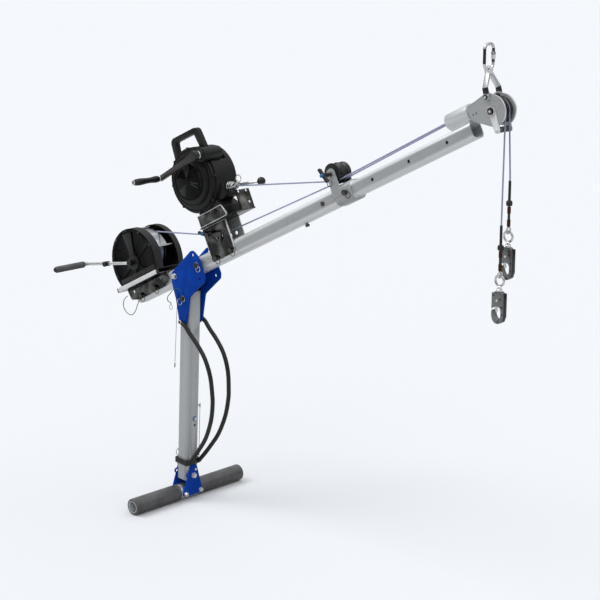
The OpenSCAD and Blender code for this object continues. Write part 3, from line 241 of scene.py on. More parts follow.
class Surface:
    """One material's node tree, with short ways to fill it."""

    def __init__(self, name: str) -> None:
        """Starts an empty material with its Principled shader."""
        self.material = bpy.data.materials.new(name)
        self.material.use_nodes = True
        self.tree = self.material.node_tree
        self.shader = self.tree.nodes["Principled BSDF"]

    def node(self, kind: str, settings: dict | None = None, **inputs: object) -> bpy.types.Node:
        """Adds a node.

        Args:
            kind: The node's type.
            settings: What the node itself is set to, before its inputs.
            **inputs: Values or links by socket name, with _ for a space.

        Returns:
            The new node.
        """
        made = self.tree.nodes.new(kind)
        for key, value in (settings or {}).items():
            setattr(made, key, value)
        for key, value in inputs.items():
            self.fill(made.inputs[key.replace("_", " ")], value)
        return made

    def fill(self, socket: bpy.types.NodeSocket, value: object) -> None:
        """Links a value or sets a number or colour on a socket."""
        if isinstance(value, Value):
            self.tree.links.new(value.socket, socket)
        elif isinstance(value, bpy.types.NodeSocket):
            self.tree.links.new(value, socket)
        elif hasattr(value, "__len__") and len(value) == 3 and socket.type == "RGBA":
            socket.default_value = (*value, 1.0)
        else:
            socket.default_value = value

    def place(self, scale: Triple = (1.0, 1.0, 1.0), tilt: float = 0.0) -> bpy.types.NodeSocket:
        """Returns Object coordinates, turned to a tilted tube and scaled."""
        where = self.node("ShaderNodeTexCoord")
        turned = self.node("ShaderNodeMapping", {"vector_type": "POINT"},
                           Vector=where.outputs["Object"])
        turned.inputs["Rotation"].default_value = (0.0, math.radians(tilt), 0.0)
        scaled = self.node("ShaderNodeVectorMath", {"operation": "MULTIPLY"})
        self.tree.links.new(turned.outputs[0], scaled.inputs[0])
        scaled.inputs[1].default_value = scale
        return scaled.outputs[0]

    def noise(self, where: bpy.types.NodeSocket, scale: float, detail: float = 3.0) -> Value:
        """Returns soft noise at a scale, around 0.5."""
        made = self.node("ShaderNodeTexNoise", None, Vector=where, Scale=scale, Detail=detail)
        return Value(self.tree, made.outputs["Fac"])

    def blend(self, share: Value, first: object, second: object) -> bpy.types.NodeSocket:
        """Returns a colour between two, by a share."""
        made = self.node("ShaderNodeMix", {"data_type": "RGBA"})
        self.fill(made.inputs["Factor"], share)
        self.fill(made.inputs[6], first)
        self.fill(made.inputs[7], second)
        return made.outputs[2]

    def bump(self, height: Value, strength: float, distance: float) -> None:
        """Raises the surface by a height, on the Principled shader's Normal."""
        made = self.node("ShaderNodeBump", None, Height=height, Strength=strength,
                         Distance=distance)
        self.tree.links.new(made.outputs[0], self.shader.inputs["Normal"])

    def set(self, **inputs: object) -> bpy.types.Material:
        """Sets the Principled shader's inputs and returns the material."""
        for key, value in inputs.items():
            self.fill(self.shader.inputs[key.replace("_", " ")], value)
        return self.material


@dataclass(frozen=True)
class Extrusion:
    """Anodised aluminium tube: long drawn streaks and a satin sheen, with an optional painted
    highlight towards its corners.

    Attributes:
        name: The material's name.
        colour: Its colour, linear.
        tilt: The tube's rise in degrees, so that the streaks follow it.
        upright: Whether the tube's length is the frame's third axis.
        middle: Height of the tube's own line in the tilted frame, in metres.
        band: Half height from which a painted highlight runs out bright to its corners, or 0 for
            none.
    """

    name: str
    colour: Triple
    tilt: float = 0.0
    upright: bool = False
    middle: float = 0.0
    band: float = 0.0

    def material(self) -> bpy.types.Material:
        """Builds the material."""
        s = Surface(self.name)
        along = (260.0, 260.0, 5.0) if self.upright else (5.0, 260.0, 260.0)
        streak = s.noise(s.place(along, self.tilt), 4.0, 4.0)
        cloud = s.noise(s.place(), 9.0)
        share = (streak - 0.5) * 0.5 + (cloud - 0.5) * 0.35 + 0.5
        low = tuple(c * 0.88 for c in self.colour)
        high = tuple(min(c * 1.12, 1.0) for c in self.colour)
        colour = s.blend(share.ramp(0.25, 0.75), low, high)
        if self.band:
            split = s.node("ShaderNodeSeparateXYZ", Vector=s.place(tilt=self.tilt))
            off = (Value(s.tree, split.outputs["Z"]) - self.middle).size()
            # Painted highlight: towards the corners the colour runs out to near white, where the
            # rounded corners would catch the light.
            colour = s.blend(off.ramp(self.band * 0.55, self.band), colour, (0.97, 0.98, 0.99))
        s.bump(streak, 0.05, 0.0004)
        return s.set(Base_Color=colour, Metallic=0.35,
                     Roughness=0.30 + (cloud - 0.5) * 0.16 + (streak - 0.5) * 0.08)


@dataclass(frozen=True)
class Coating:
    """Powder coat: a fine orange peel under a thin gloss.

    Attributes:
        name: The material's name.
        colour: Its colour, linear.
        rough: Mean roughness.
        peel: How strong the orange peel is.
        coat: Weight of the gloss over it.
        mirror: How strongly it mirrors at all, 0.5 as plain plastic does.
    """

    name: str
    colour: Triple
    rough: float = 0.38
    peel: float = 0.12
    coat: float = 0.25
    mirror: float = 0.5

    def material(self) -> bpy.types.Material:
        """Builds the material."""
        s = Surface(self.name)
        where = s.place()
        peel = s.noise(where, 900.0, 2.0)
        cloud = s.noise(where, 14.0)
        low = tuple(c * 0.84 for c in self.colour)
        high = tuple(c * 1.16 + 0.002 for c in self.colour)
        s.bump(peel, self.peel, 0.0003)
        return s.set(Base_Color=s.blend(cloud.ramp(0.3, 0.7), low, high),
                     Roughness=self.rough + (cloud - 0.5) * 0.14, Coat_Weight=self.coat,
                     Coat_Roughness=0.18, Specular_IOR_Level=self.mirror)


@dataclass(frozen=True)
class Metal:
    """Bare metal, from rolled sheet to a cast face.

    Attributes:
        name: The material's name.
        colour: Its colour, linear.
        rough: Mean roughness.
        grain: Size of the grain, in bumps a metre.
        dent: How strong the grain is.
        sheet: Whether the grain is drawn out along one way, as on rolled sheet, with wide light and
            dark clouds that are partly random tone and partly painted reflection.
    """

    name: str
    colour: Triple
    rough: float = 0.2
    grain: float = 500.0
    dent: float = 0.06
    sheet: bool = False

    def material(self) -> bpy.types.Material:
        """Builds the material."""
        s = Surface(self.name)
        grain = s.noise(s.place((1.0, 1.0, 0.05) if self.sheet else (1.0, 1.0, 1.0)),
                        self.grain, 3.0)
        cloud = s.noise(s.place(), 22.0, 4.0)
        # On sheet the clouds spread far from the colour: partly random tone, partly painted smudgy
        # reflections.
        spread = (0.6, 4.0) if self.sheet else (0.82, 1.15)
        low, high = (tuple(min(c * share, 1.0) for c in self.colour) for share in spread)
        s.bump(grain, self.dent, 0.0003)
        return s.set(Base_Color=s.blend(cloud.ramp(0.45, 0.8), low, high), Metallic=1.0,
                     Roughness=(self.rough + (cloud - 0.5) * 0.14 + (grain - 0.5) * 0.06))


@dataclass(frozen=True)
class Moulded:
    """Moulded plastic, rubber or foam with a fine spark grain.

    Attributes:
        name: The material's name.
        colour: Its colour, linear.
        rough: Mean roughness.
        grain: Size of the grain, in bumps a metre.
        dent: How strong the grain is.
    """

    name: str
    colour: Triple
    rough: float = 0.5
    grain: float = 1500.0
    dent: float = 0.2

    def material(self) -> bpy.types.Material:
        """Builds the material."""
        s = Surface(self.name)
        where = s.place()
        grain = s.noise(where, self.grain, 2.0)
        cloud = s.noise(where, 18.0, 3.0)
        low = tuple(c * 0.8 for c in self.colour)
        high = tuple(c * 1.25 + 0.002 for c in self.colour)
        s.bump(grain, self.dent, 0.0003)
        return s.set(Base_Color=s.blend(cloud.ramp(0.3, 0.7), low, high),
                     Roughness=self.rough + (cloud - 0.5) * 0.12 + (grain - 0.5) * 0.08)


@dataclass(frozen=True)
class Braid:
    """Plaited line: two sets of strands that cross, drawn on the tube's own UV map.

    Attributes:
        name: The material's name.
        colour: Colour of the strands' crowns, linear.
        groove: Colour between the strands, painted darker as shade in the grooves.
        strands: How many strands run each way round.
        pitch: Length of line for one turn of a strand, in metres.
        metal: Share of metal, for wire rope.
        rough: Mean roughness.
    """

    name: str
    colour: Triple
    groove: Triple
    strands: int = 8
    pitch: float = 0.018
    metal: float = 0.0
    rough: float = 0.62

    def material(self) -> bpy.types.Material:
        """Builds the material."""
        s = Surface(self.name)
        where = s.node("ShaderNodeTexCoord")
        split = s.node("ShaderNodeSeparateXYZ", None, Vector=where.outputs["UV"])
        around = Value(s.tree, split.outputs[0])
        along = Value(s.tree, split.outputs[1]) / self.pitch
        right = ((around + along) * (math.pi * self.strands)).wave().size()
        left = ((around - along) * (math.pi * self.strands)).wave().size()
        crown = right.least(left) if self.metal < 0.5 else right
        fibre = s.noise(s.place(), 700.0, 2.0)
        s.bump(crown + fibre * 0.25, 0.55, 0.0005)
        # Painted shade: between the strands' crowns the colour falls to the darker groove colour.
        share = (crown * 1.5).least(1.0) * 0.85 + (fibre - 0.5) * 0.3
        return s.set(Base_Color=s.blend(share.ramp(0.0, 1.0), self.groove, self.colour),
                     Roughness=self.rough - crown * 0.12, Metallic=self.metal)


class Finish(Enum):
    """The hoist's finishes."""

    MAST_TUBE = Extrusion("mast_extrusion", (0.54, 0.56, 0.57), tilt=3.0, upright=True)
    # The boom's tube carries the painted highlight along its corners.
    BOOM_TUBE = Extrusion("boom_extrusion", (0.49, 0.51, 0.52), RISE, False, 0.7997, 0.021)
    HEAD_METAL = Extrusion("machined_head", (0.48, 0.50, 0.505), tilt=RISE)
    HEAD_PIPE = Extrusion("head_pipe", (0.78, 0.80, 0.81), RISE)
    PIPE = Metal("foot_pipe", (0.66, 0.68, 0.70), 0.35)
    BLUE = Coating("blue_powder_coat", (0.0005, 0.062, 0.47), 0.5, 0.08, 0.0, 0.12)
    GLOSS_BLACK = Coating("gloss_black", (0.0018, 0.0018, 0.002), 0.22, 0.05, 0.0, 0.10)
    SATIN_BLACK = Coating("satin_black", (0.0095, 0.0095, 0.010), 0.40, 0.16, 0.0, 0.3)
    RIM_GREY = Coating("rim_grey", (0.026, 0.026, 0.027), 0.5, 0.14, 0.0, 0.3)
    # A raised panel's grey, partly its own colour and partly painted sheen on the glossy black
    # covers.
    PANEL_AND_PAINTED_SHEEN = Coating("panel_grey_and_painted_sheen", (0.011, 0.0115, 0.012), 0.42, 0.1, 0.1, 0.3)
    KNOB_BLACK = Moulded("moulded_black", (0.008, 0.008, 0.009), 0.34)
    HOSE = Moulded("hose_rubber", (0.0035, 0.0035, 0.0038), 0.40, 900.0, 0.12)
    SLEEVE = Moulded("grey_sleeve", (0.098, 0.098, 0.099), 0.28, 1100.0, 0.12)
    FOAM = Moulded("grip_foam", (0.115, 0.118, 0.12), 0.72, 1400.0, 0.5)
    CRANK_BROWN = Coating("crank_brown", (0.030, 0.025, 0.021), 0.40, 0.1, 0.2)
    # Painted dark reflection: the stainless sheet is set near black for the dark surroundings that
    # it mirrors.
    STAINLESS_DARK_REFLECTION = Metal("stainless_painted_dark_reflection", (0.058, 0.058, 0.056), 0.16, 300.0, 0.04, sheet=True)
    # Painted light: the same stainless sheet, set lighter on the inner faces of its folds.
    SHEET_INSIDE_PAINTED_LIGHT = Coating("sheet_inside_painted_light", (0.42, 0.45, 0.435), 0.35, 0.03, 0.2)
    # Painted highlight on sharp edges of sheets, plates and pins; the same near-white metal is also
    # the bail's straps and the winch crank's arm.
    EDGE_HIGHLIGHT_AND_PALE_STEEL = Metal("edge_highlight_and_pale_steel", (0.95, 0.96, 0.97), 0.4)
    BRIGHT = Metal("bright_steel", (0.80, 0.80, 0.80), 0.14)
    GUARD = Metal("bright_guard", (0.62, 0.65, 0.69), 0.20, 300.0, 0.05, sheet=True)
    DARK_STEEL = Metal("dark_steel", (0.10, 0.095, 0.088), 0.24)
    # Painted highlight: bright metal bars drawn as plain white paint, for their blown-out shine.
    PAINTED_HIGHLIGHT_BAR = Coating("painted_highlight_bar", (0.99, 0.99, 1.0), 0.3, 0.05, 0.5)
    CAST = Metal("cast_hook", (0.25, 0.25, 0.25), 0.34, 900.0, 0.12)
    REEL = Metal("reel_metal", (0.16, 0.165, 0.175), 0.34)
    COPPER = Metal("copper_ferrule", (0.085, 0.035, 0.022), 0.38)
    # Each braid's second colour is painted shade between its strands.
    LINE = Braid("braided_line", (0.52, 0.55, 0.76), (0.26, 0.28, 0.44))
    WIRE = Braid("wire_cord", (0.42, 0.42, 0.42), (0.10, 0.10, 0.10), 7, 0.012, 1.0, 0.35)
    GREEN = Braid("green_cord", (0.02, 0.17, 0.06), (0.008, 0.07, 0.024), 6, 0.008, 0.0, 0.45)
    WASHER_BLUE = Moulded("blue_washer", (0.004, 0.16, 0.40), 0.35)


class Paintbox:
    """Makes each finish's material once."""

    def __init__(self) -> None:
        """Starts with no material made."""
        self.made: dict[Finish, bpy.types.Material] = {}

    def take(self, finish: Finish) -> bpy.types.Material:
        """Returns the material of a finish."""
        if finish not in self.made:
            self.made[finish] = finish.value.material()
        return self.made[finish]


PAINTS = Paintbox()


class Shape:
    """Collects closed forms in one working frame and turns them into a piece."""

    def __init__(self, frame: WorkFrame, *finishes: Finish) -> None:
        """Starts an empty form. The first finish is used until paint() names another; an
        item that a Repeater sets out needs none."""
        self.frame = frame
        self.finishes = list(finishes)
        self.mesh = bmesh.new()
        self.uv = self.mesh.loops.layers.uv.new("UVMap")
        self.index = 0

    def paint(self, finish: Finish) -> Shape:
        """Names the finish of the forms that follow."""
        if finish not in self.finishes:
            self.finishes.append(finish)
        self.index = self.finishes.index(finish)
        return self

    def _face(self, verts: Sequence[bmesh.types.BMVert]) -> None:
        """Adds one face in the current finish."""
        self.mesh.faces.new(verts).material_index = self.index

    def loft(self, rings: Sequence[Sequence[Vector]], loop: bool = False) -> Shape:
        """Joins rings of row points, in metres, into a closed form.

        Args:
            rings: Rings with the same number of points each.
            loop: Whether the last ring joins the first, in place of end faces.

        Returns:
            This shape.
        """
        made = [[self.mesh.verts.new(p) for p in ring] for ring in rings]
        sides = len(rings[0])
        for i in range(len(made) - (0 if loop else 1)):
            low, high = made[i], made[(i + 1) % len(made)]
            for k in range(sides):
                j = (k + 1) % sides
                self._face((low[k], low[j], high[j], high[k]))
        if not loop:
            self._face(made[0][::-1])
            self._face(made[-1])
        return self

    def prism(self, outline: Sequence[Pair], y0: float, y1: float) -> Shape:
        """Draws an outline of (along, up) points out across the frame."""
        return self.loft([[self.frame.at(a, y, n) for a, n in outline] for y in (y0, y1)])

    def box(self, along: Pair, across: Pair, up: Pair) -> Shape:
        """Adds a box between two numbers on each axis."""
        (a0, a1), (n0, n1) = along, up
        return self.prism([(a0, n0), (a1, n0), (a1, n1), (a0, n1)], *across)

    def turned(self, start: Triple, way: Triple, profile: Iterable[Pair],
               sides: int = 32, ring: bool = False) -> Shape:
        """Turns a profile about a line of the frame.

        Args:
            start: Where the profile's distances start.
            way: The line's direction.
            profile: (distance along the line, radius) pairs, all with a radius above 0.
            sides: How many sides the round has.
            ring: Whether the profile closes on itself, as a ring's does.

        Returns:
            This shape.
        """
        axis = self.frame.way(*way).normalized()
        side = axis.orthogonal().normalized()
        other = axis.cross(side)
        base = self.frame.at(*start)
        rings = []
        for far, radius in profile:
            centre = base + axis * (far * MM)
            rings.append([centre + (side * math.cos(2 * math.pi * k / sides)
                                    + other * math.sin(2 * math.pi * k / sides)) * (radius * MM)
                          for k in range(sides)])
        return self.loft(rings, loop=ring)

    def rod(self, start: Triple, end: Triple, radius: float, sides: int = 24,
            edge: float = 0.0) -> Shape:
        """Adds a round rod between two points, with its end edges broken."""
        way = Vector(end) - Vector(start)
        far = way.length
        profile = [(0, radius), (far, radius)]
        if edge:
            profile = [(0, radius - edge), (edge, radius), (far - edge, radius),
                       (far, radius - edge)]
        return self.turned(start, tuple(way), profile, sides)

    def hexagon(self, start: Triple, end: Triple, radius: float) -> Shape:
        """Adds a hexagon with domed corners, as on a bolt head or nut."""
        way = Vector(end) - Vector(start)
        far, cut = way.length, radius * 0.07
        return self.turned(start, tuple(way), [(0, radius - cut), (cut, radius),
                                               (far - cut, radius), (far, radius - cut)], 6)

    def wire_ring(self, centre: Triple, way: Triple, radius: float, wire: float,
                  sides: int = 28) -> Shape:
        """Adds a ring of round wire about a direction."""
        turns = [2 * math.pi * k / 8 for k in range(8)]
        profile = [(wire * math.sin(a), radius + wire * math.cos(a)) for a in turns]
        return self.turned(centre, way, profile, sides, ring=True)

    def tube(self, points: Sequence[Vector], radius: float, sides: int = 10,
             ends: float = 0.0) -> Shape:
        """Sweeps a round tube along row points in metres, with a UV map in metres along it.

        Args:
            points: The tube's own line.
            radius: Its radius in millimetres.
            sides: How many sides it has.
            ends: How much narrower its very ends are.

        Returns:
            This shape.
        """
        ways = [(points[min(i + 1, len(points) - 1)] - points[max(i - 1, 0)]).normalized()
                for i in range(len(points))]
        side = ways[0].orthogonal().normalized()
        far = 0.0
        made, marks = [], []
        for i, (point, way) in enumerate(zip(points, ways)):
            side = (side - way * side.dot(way)).normalized()
            other = way.cross(side)
            last = i in (0, len(points) - 1)
            r = (radius - (ends if last else 0.0)) * MM
            made.append([self.mesh.verts.new(point + side * (r * math.cos(2 * math.pi * k / sides))
                                             + other * (r * math.sin(2 * math.pi * k / sides)))
                         for k in range(sides)])
            far += (point - points[i - 1]).length if i else 0.0
            marks.append(far)
        for i in range(len(points) - 1):
            for k in range(sides):
                j = (k + 1) % sides
                face = self.mesh.faces.new((made[i][k], made[i][j], made[i + 1][j],
                                            made[i + 1][k]))
                face.material_index = self.index
                for loop, (u, v) in zip(face.loops, ((k, i), (k + 1, i), (k + 1, i + 1),
                                                     (k, i + 1))):
                    loop[self.uv].uv = (u / sides, marks[v])
        self._face(made[0][::-1])
        self._face(made[-1])
        return self

    def piece(self, name: str, body: str | Bend, *nodes: str, slot: str, edge: float = 0.0,
              angle: float = 35.0) -> bpy.types.Object:
        """Closes the form and hands it to the frame.

        Args:
            name: The piece's name.
            body: The body it rides on.
            *nodes: The CAD nodes it stands for.
            slot: The record's material slot. Not used.
            edge: Width of the broken edges, in millimetres.
            angle: Above this angle an edge is sharp, and is broken.

        Returns:
            The new object.
        """
        bmesh.ops.recalc_face_normals(self.mesh, faces=self.mesh.faces)
        data = bpy.data.meshes.new(name)
        self.mesh.to_mesh(data)
        self.mesh.free()
        for finish in self.finishes:
            data.materials.append(PAINTS.take(finish))
        return hand_over(data, name, body, nodes, edge, angle)


@dataclass(frozen=True)
class Bend:
    """Two bodies that a piece bends between, and the stretch where it turns.

    Attributes:
        first: The body that the piece follows before the start.
        second: The body that it follows after the end.
        start: Where the turn starts, in row metres.
        end: Where it ends.
    """

    first: str
    second: str
    start: Triple
    end: Triple


def hand_over(data: bpy.types.Mesh, name: str, body: str | Bend, nodes: Sequence[str],
              edge: float, angle: float, edge_finish: Finish | None = None) -> bpy.types.Object:
    """Breaks a mesh's edges, shades it and lets it ride.

    Args:
        data: The mesh, in row metres.
        name: The piece's name.
        body: The body it rides on, or a Bend, whose piece is baked in place and rides on neither.
        nodes: The CAD nodes it stands for.
        edge: Width of the broken edges, in millimetres.
        angle: Above this angle an edge is sharp, and is broken.
        edge_finish: A finish of its own for the broken edges.

    Returns:
        The new object.
    """
    made = bpy.data.objects.new(name, data)
    bpy.context.scene.collection.objects.link(made)
    if edge:
        bevel = made.modifiers.new("broken_edges", "BEVEL")
        bevel.width = edge * MM
        bevel.segments = 2
        bevel.limit_method = "ANGLE"
        bevel.angle_limit = math.radians(angle)
        bevel.miter_outer = "MITER_ARC"
        if edge_finish:
            data.materials.append(PAINTS.take(edge_finish))
            bevel.material = len(data.materials) - 1
        plain(made)
    made.data.shade_smooth()
    made.data.set_sharp_from_angle(angle=math.radians(angle))
    if isinstance(body, Bend):
        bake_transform(made)
    else:
        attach(made, body)
    if nodes:
        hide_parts(*nodes)
    LOG.info("%s rides on %s with %d faces", name, body, len(made.data.polygons))
    return made


def plain(made: bpy.types.Object) -> None:
    """Turns an object with modifiers into a plain mesh."""
    graph = bpy.context.evaluated_depsgraph_get()
    fresh = bpy.data.meshes.new_from_object(made.evaluated_get(graph), depsgraph=graph,
                                            preserve_all_data_layers=True)
    made.modifiers.clear()
    made.data = fresh


@dataclass(frozen=True)
class Zones:
    """Which finish goes where on a CAD node, told from a face's middle and its outward way.

    Attributes:
        frame: The frame in which the rule reads places and directions.
        rule: Takes a place in millimetres and a direction, and returns a finish or None.
        kinds: The finishes that the rule may return.
    """

    frame: WorkFrame
    rule: Callable[[Vector, Vector], Finish | None]
    kinds: tuple[Finish, ...]

    def pick(self, face: bmesh.types.BMFace) -> Finish | None:
        """Returns the finish of one face, or None for the node's own."""
        return self.rule(self.frame.read(face.calc_center_median()),
                         self.frame.read_way(face.normal))


class Workshop:
    """Replaces CAD nodes by copies with broken edges and finishes."""

    def __init__(self, frame: dict) -> None:
        """Keeps the loaded frame."""
        self.nodes: dict[str, bpy.types.Object] = frame["nodes"]
        self.home = {node: body for body, members in
                     frame["record"]["behaviour"]["bodies"].items() for node in members}
        self.slots = {p["node"]: p["material_slot"] for p in frame["record"]["subparts"]}

    def worked(self, node: str, finish: Finish, edge: float = 0.5,
               edge_finish: Finish | None = None, angle: float = 35.0,
               zones: Zones | None = None) -> bpy.types.Object:
        """Replaces a CAD node by a merged copy with broken edges.

        Args:
            node: The node to copy.
            finish: The finish of its faces.
            edge: Width of the broken edges, in millimetres.
            edge_finish: A finish of its own for those edges.
            angle: Above this angle an edge is broken.
            zones: Where on the node other finishes go.

        Returns:
            The new object.
        """
        mesh = bmesh.new()
        mesh.from_mesh(self.nodes[node].data)
        bmesh.ops.remove_doubles(mesh, verts=mesh.verts, dist=2e-6)
        bmesh.ops.dissolve_limit(mesh, angle_limit=math.radians(0.8), verts=mesh.verts,
                                 edges=mesh.edges)
        kinds = [finish, *(zones.kinds if zones else ())]
        for face in mesh.faces:
            face.material_index = kinds.index(zones.pick(face) or finish) if zones else 0
        data = bpy.data.meshes.new(node + "_worked")
        mesh.to_mesh(data)
        mesh.free()
        for kind in kinds:
            data.materials.append(PAINTS.take(kind))
        return hand_over(data, node + "_worked", self.home[node], [node],
                         edge, angle, edge_finish)


class GeoTree:
    """A Geometry Nodes tree with named inputs, run once and turned into a plain mesh."""

    def __init__(self, name: str) -> None:
        """Starts an empty tree with its two end nodes."""
        self.tree = bpy.data.node_groups.new(name, "GeometryNodeTree")
        self.tree.interface.new_socket("Geometry", in_out="INPUT",
                                       socket_type="NodeSocketGeometry")
        self.tree.interface.new_socket("Geometry", in_out="OUTPUT",
                                       socket_type="NodeSocketGeometry")
        self.start = self.tree.nodes.new("NodeGroupInput")
        self.end = self.tree.nodes.new("NodeGroupOutput")
        self.identifiers: dict[str, str] = {}

    def ask(self, name: str, kind: str = "Float") -> bpy.types.NodeSocket:
        """Adds a named input and returns its socket inside the tree."""
        made = self.tree.interface.new_socket(name, in_out="INPUT",
                                              socket_type="NodeSocket" + kind)
        self.identifiers[name] = made.identifier
        return self.start.outputs[name]

    def node(self, kind: str, settings: dict | None = None, **inputs: object) -> bpy.types.Node:
        """Adds a node, sets it and links or fills its inputs by name."""
        made = self.tree.nodes.new(kind)
        for key, value in (settings or {}).items():
            setattr(made, key, value)
        for key, value in inputs.items():
            socket = made.inputs[key.replace("_", " ")]
            if isinstance(value, bpy.types.NodeSocket):
                self.tree.links.new(value, socket)
            else:
                socket.default_value = value
        return made

    def close(self, geometry: bpy.types.NodeSocket, material: bpy.types.NodeSocket) -> None:
        """Ends the tree in Realize Instances and Set Material."""
        real = self.node("GeometryNodeRealizeInstances", None, Geometry=geometry)
        dressed = self.node("GeometryNodeSetMaterial", None, Geometry=real.outputs[0],
                            Material=material)
        self.tree.links.new(dressed.outputs[0], self.end.inputs[0])

    def run(self, seed: bpy.types.Mesh, **inputs: object) -> bpy.types.Mesh:
        """Runs the tree on a mesh.

        Args:
            seed: The mesh that the tree starts from.
            **inputs: Values of the named inputs, with _ for a space.

        Returns:
            The result as a plain mesh.
        """
        host = bpy.data.objects.new("tree_host", seed)
        bpy.context.scene.collection.objects.link(host)
        work = host.modifiers.new("tree", "NODES")
        work.node_group = self.tree
        for key, value in inputs.items():
            work[self.identifiers[key.replace("_", " ")]] = value
        plain(host)
        made = host.data
        bpy.data.objects.remove(host)
        return made


class Repeater:
    """Sets one item out on listed points, such as bolts, rivets and ribs."""

    def __init__(self) -> None:
        """Builds the tree."""
        self.tree = GeoTree("set_out")
        item = self.tree.node("GeometryNodeObjectInfo", None,
                              Object=self.tree.ask("Item", "Object"))
        spread = self.tree.node("GeometryNodeInstanceOnPoints", None,
                                Points=self.tree.start.outputs["Geometry"],
                                Instance=item.outputs["Geometry"],
                                Scale=self.tree.ask("Size", "Vector"))
        self.tree.close(spread.outputs[0], self.tree.ask("Material", "Material"))

    def set_out(self, item: Shape, points: Sequence[Vector], finish: Finish, name: str,
                body: str, *nodes: str, slot: str, edge: float = 0.0) -> bpy.types.Object:
        """Repeats an item.

        Args:
            item: The item, drawn about the row's origin.
            points: Where each one goes, in row metres.
            finish: The finish of them all.
            name: The piece's name.
            body: The body it rides on.
            *nodes: The CAD nodes it stands for.
            slot: The record's material slot. Not used.
            edge: Width of the broken edges, in millimetres.

        Returns:
            The new object.
        """
        bmesh.ops.recalc_face_normals(item.mesh, faces=item.mesh.faces)
        single = bpy.data.meshes.new("item")
        item.mesh.to_mesh(single)
        item.mesh.free()
        holder = bpy.data.objects.new("item", single)
        bpy.context.scene.collection.objects.link(holder)
        seed = bpy.data.meshes.new("points")
        seed.from_pydata([tuple(p) for p in points], [], [])
        made = self.tree.run(seed, Item=holder, Size=(1.0, 1.0, 1.0),
                             Material=PAINTS.take(finish))
        bpy.data.objects.remove(holder)
        return hand_over(made, name, body, nodes, edge, 35.0)


class WoundLine:
    """The visible layer of line on the winch drum, wound by a tree."""

    def __init__(self) -> None:
        """Builds the tree: a spiral swept by an open round, with a UV map along the line."""
        t = GeoTree("wound_line")
        spiral = t.node("GeometryNodeCurveSpiral", None, Rotations=t.ask("Turns"),
                        Start_Radius=t.ask("Radius"), End_Radius=t.start.outputs["Radius"],
                        Height=t.ask("Rise"))
        spiral.inputs["Resolution"].default_value = 48
        spiral.inputs["Reverse"].default_value = True
        wire = t.node("GeometryNodeCurveArc", {"mode": "RADIUS"}, Radius=t.ask("Wire"))
        wire.inputs["Resolution"].default_value = 11
        wire.inputs["Sweep Angle"].default_value = 2 * math.pi
        length = t.node("GeometryNodeSplineParameter")
        marked = self._store(t, spiral.outputs[0], "along", length.outputs["Length"])
        factor = t.node("GeometryNodeSplineParameter")
        round_ = self._store(t, wire.outputs[0], "around", factor.outputs["Factor"])
        swept = t.node("GeometryNodeCurveToMesh", None, Curve=marked, Profile_Curve=round_)
        self.tree = t
        t.close(swept.outputs[0], t.ask("Material", "Material"))

    @staticmethod
    def _store(tree: GeoTree, geometry: bpy.types.NodeSocket, name: str,
               value: bpy.types.NodeSocket) -> bpy.types.NodeSocket:
        """Stores a number on each point of a curve under a name."""
        made = tree.node("GeometryNodeStoreNamedAttribute",
                         {"data_type": "FLOAT", "domain": "POINT"}, Geometry=geometry, Name=name)
        tree.tree.links.new(value, made.inputs["Value"])
        return made.outputs[0]

    def wind(self, turns: float, radius: float, pitch: float, wire: float, start: float,
             place: Matrix, finish: Finish) -> bpy.types.Mesh:
        """Winds a line about the drum.

        Args:
            turns: How many turns.
            radius: Radius of the line's centre, in millimetres.
            pitch: Step from turn to turn, in millimetres.
            wire: The line's radius, in millimetres.
            start: Turn in degrees of the first point.
            place: Matrix that takes the spiral to the drum.
            finish: The line's finish.

        Returns:
            The wound line, closed at both ends.
        """
        seed = bpy.data.meshes.new("seed")
        made = self.tree.run(seed, Turns=turns, Radius=radius * MM, Rise=pitch * turns * MM,
                             Wire=wire * MM, Material=PAINTS.take(finish))
        mesh = bmesh.new()
        mesh.from_mesh(made)
        along = mesh.verts.layers.float.get("along")
        around = mesh.verts.layers.float.get("around")
        uv = mesh.loops.layers.uv.new("UVMap")
        for face in mesh.faces:
            for loop in face.loops:
                loop[uv].uv = (loop.vert[around], loop.vert[along])
        bmesh.ops.remove_doubles(mesh, verts=mesh.verts, dist=1e-6)
        bmesh.ops.holes_fill(mesh, edges=mesh.edges, sides=0)
        mesh.transform(place @ Matrix.Rotation(math.radians(start), 4, "Z"))
        bmesh.ops.recalc_face_normals(mesh, faces=mesh.faces)
        mesh.to_mesh(made)
        mesh.free()
        return made


REPEAT: list[Repeater] = []


def bolt_item(frame: WorkFrame, way: Triple, d: float, low: float, high: float,
              nut_low: bool = False) -> Shape:
    """Draws a hexagon bolt with washers through a pack of plates.

    Args:
        frame: The frame whose directions are used, set at the row's origin.
        way: The bolt's direction.
        d: Its thread's diameter in millimetres.
        low: Where the pack starts along the bolt.
        high: Where the pack ends.
        nut_low: Whether the nut is on the low side.

    Returns:
        The bolt, drawn about the row's origin.
    """
    made = Shape(WorkFrame(tilt=frame.tilt))
    w = Vector(way)

    def at(far: float) -> Triple:
        """Returns a point along the bolt."""
        return tuple(w * far)

    for face, out in ((low, -1), (high, 1)):
        nut = nut_low == (out < 0)
        made.turned(at(face), tuple(w * out), [(0, d), (1.6, d), (2, d - 0.4)], 24)
        start = face + out * 2
        end = start + out * (0.8 * d if nut else 0.64 * d)
        made.hexagon(at(start), at(end), 0.92 * d)
        if nut:
            made.rod(at(start), at(end + out * 2), d / 2, 16, 0.6)
        else:
            made.turned(at(end - out * 0.2), tuple(w * out), [(0, 0.62 * d), (0.4, 0.6 * d)], 24)
    return made


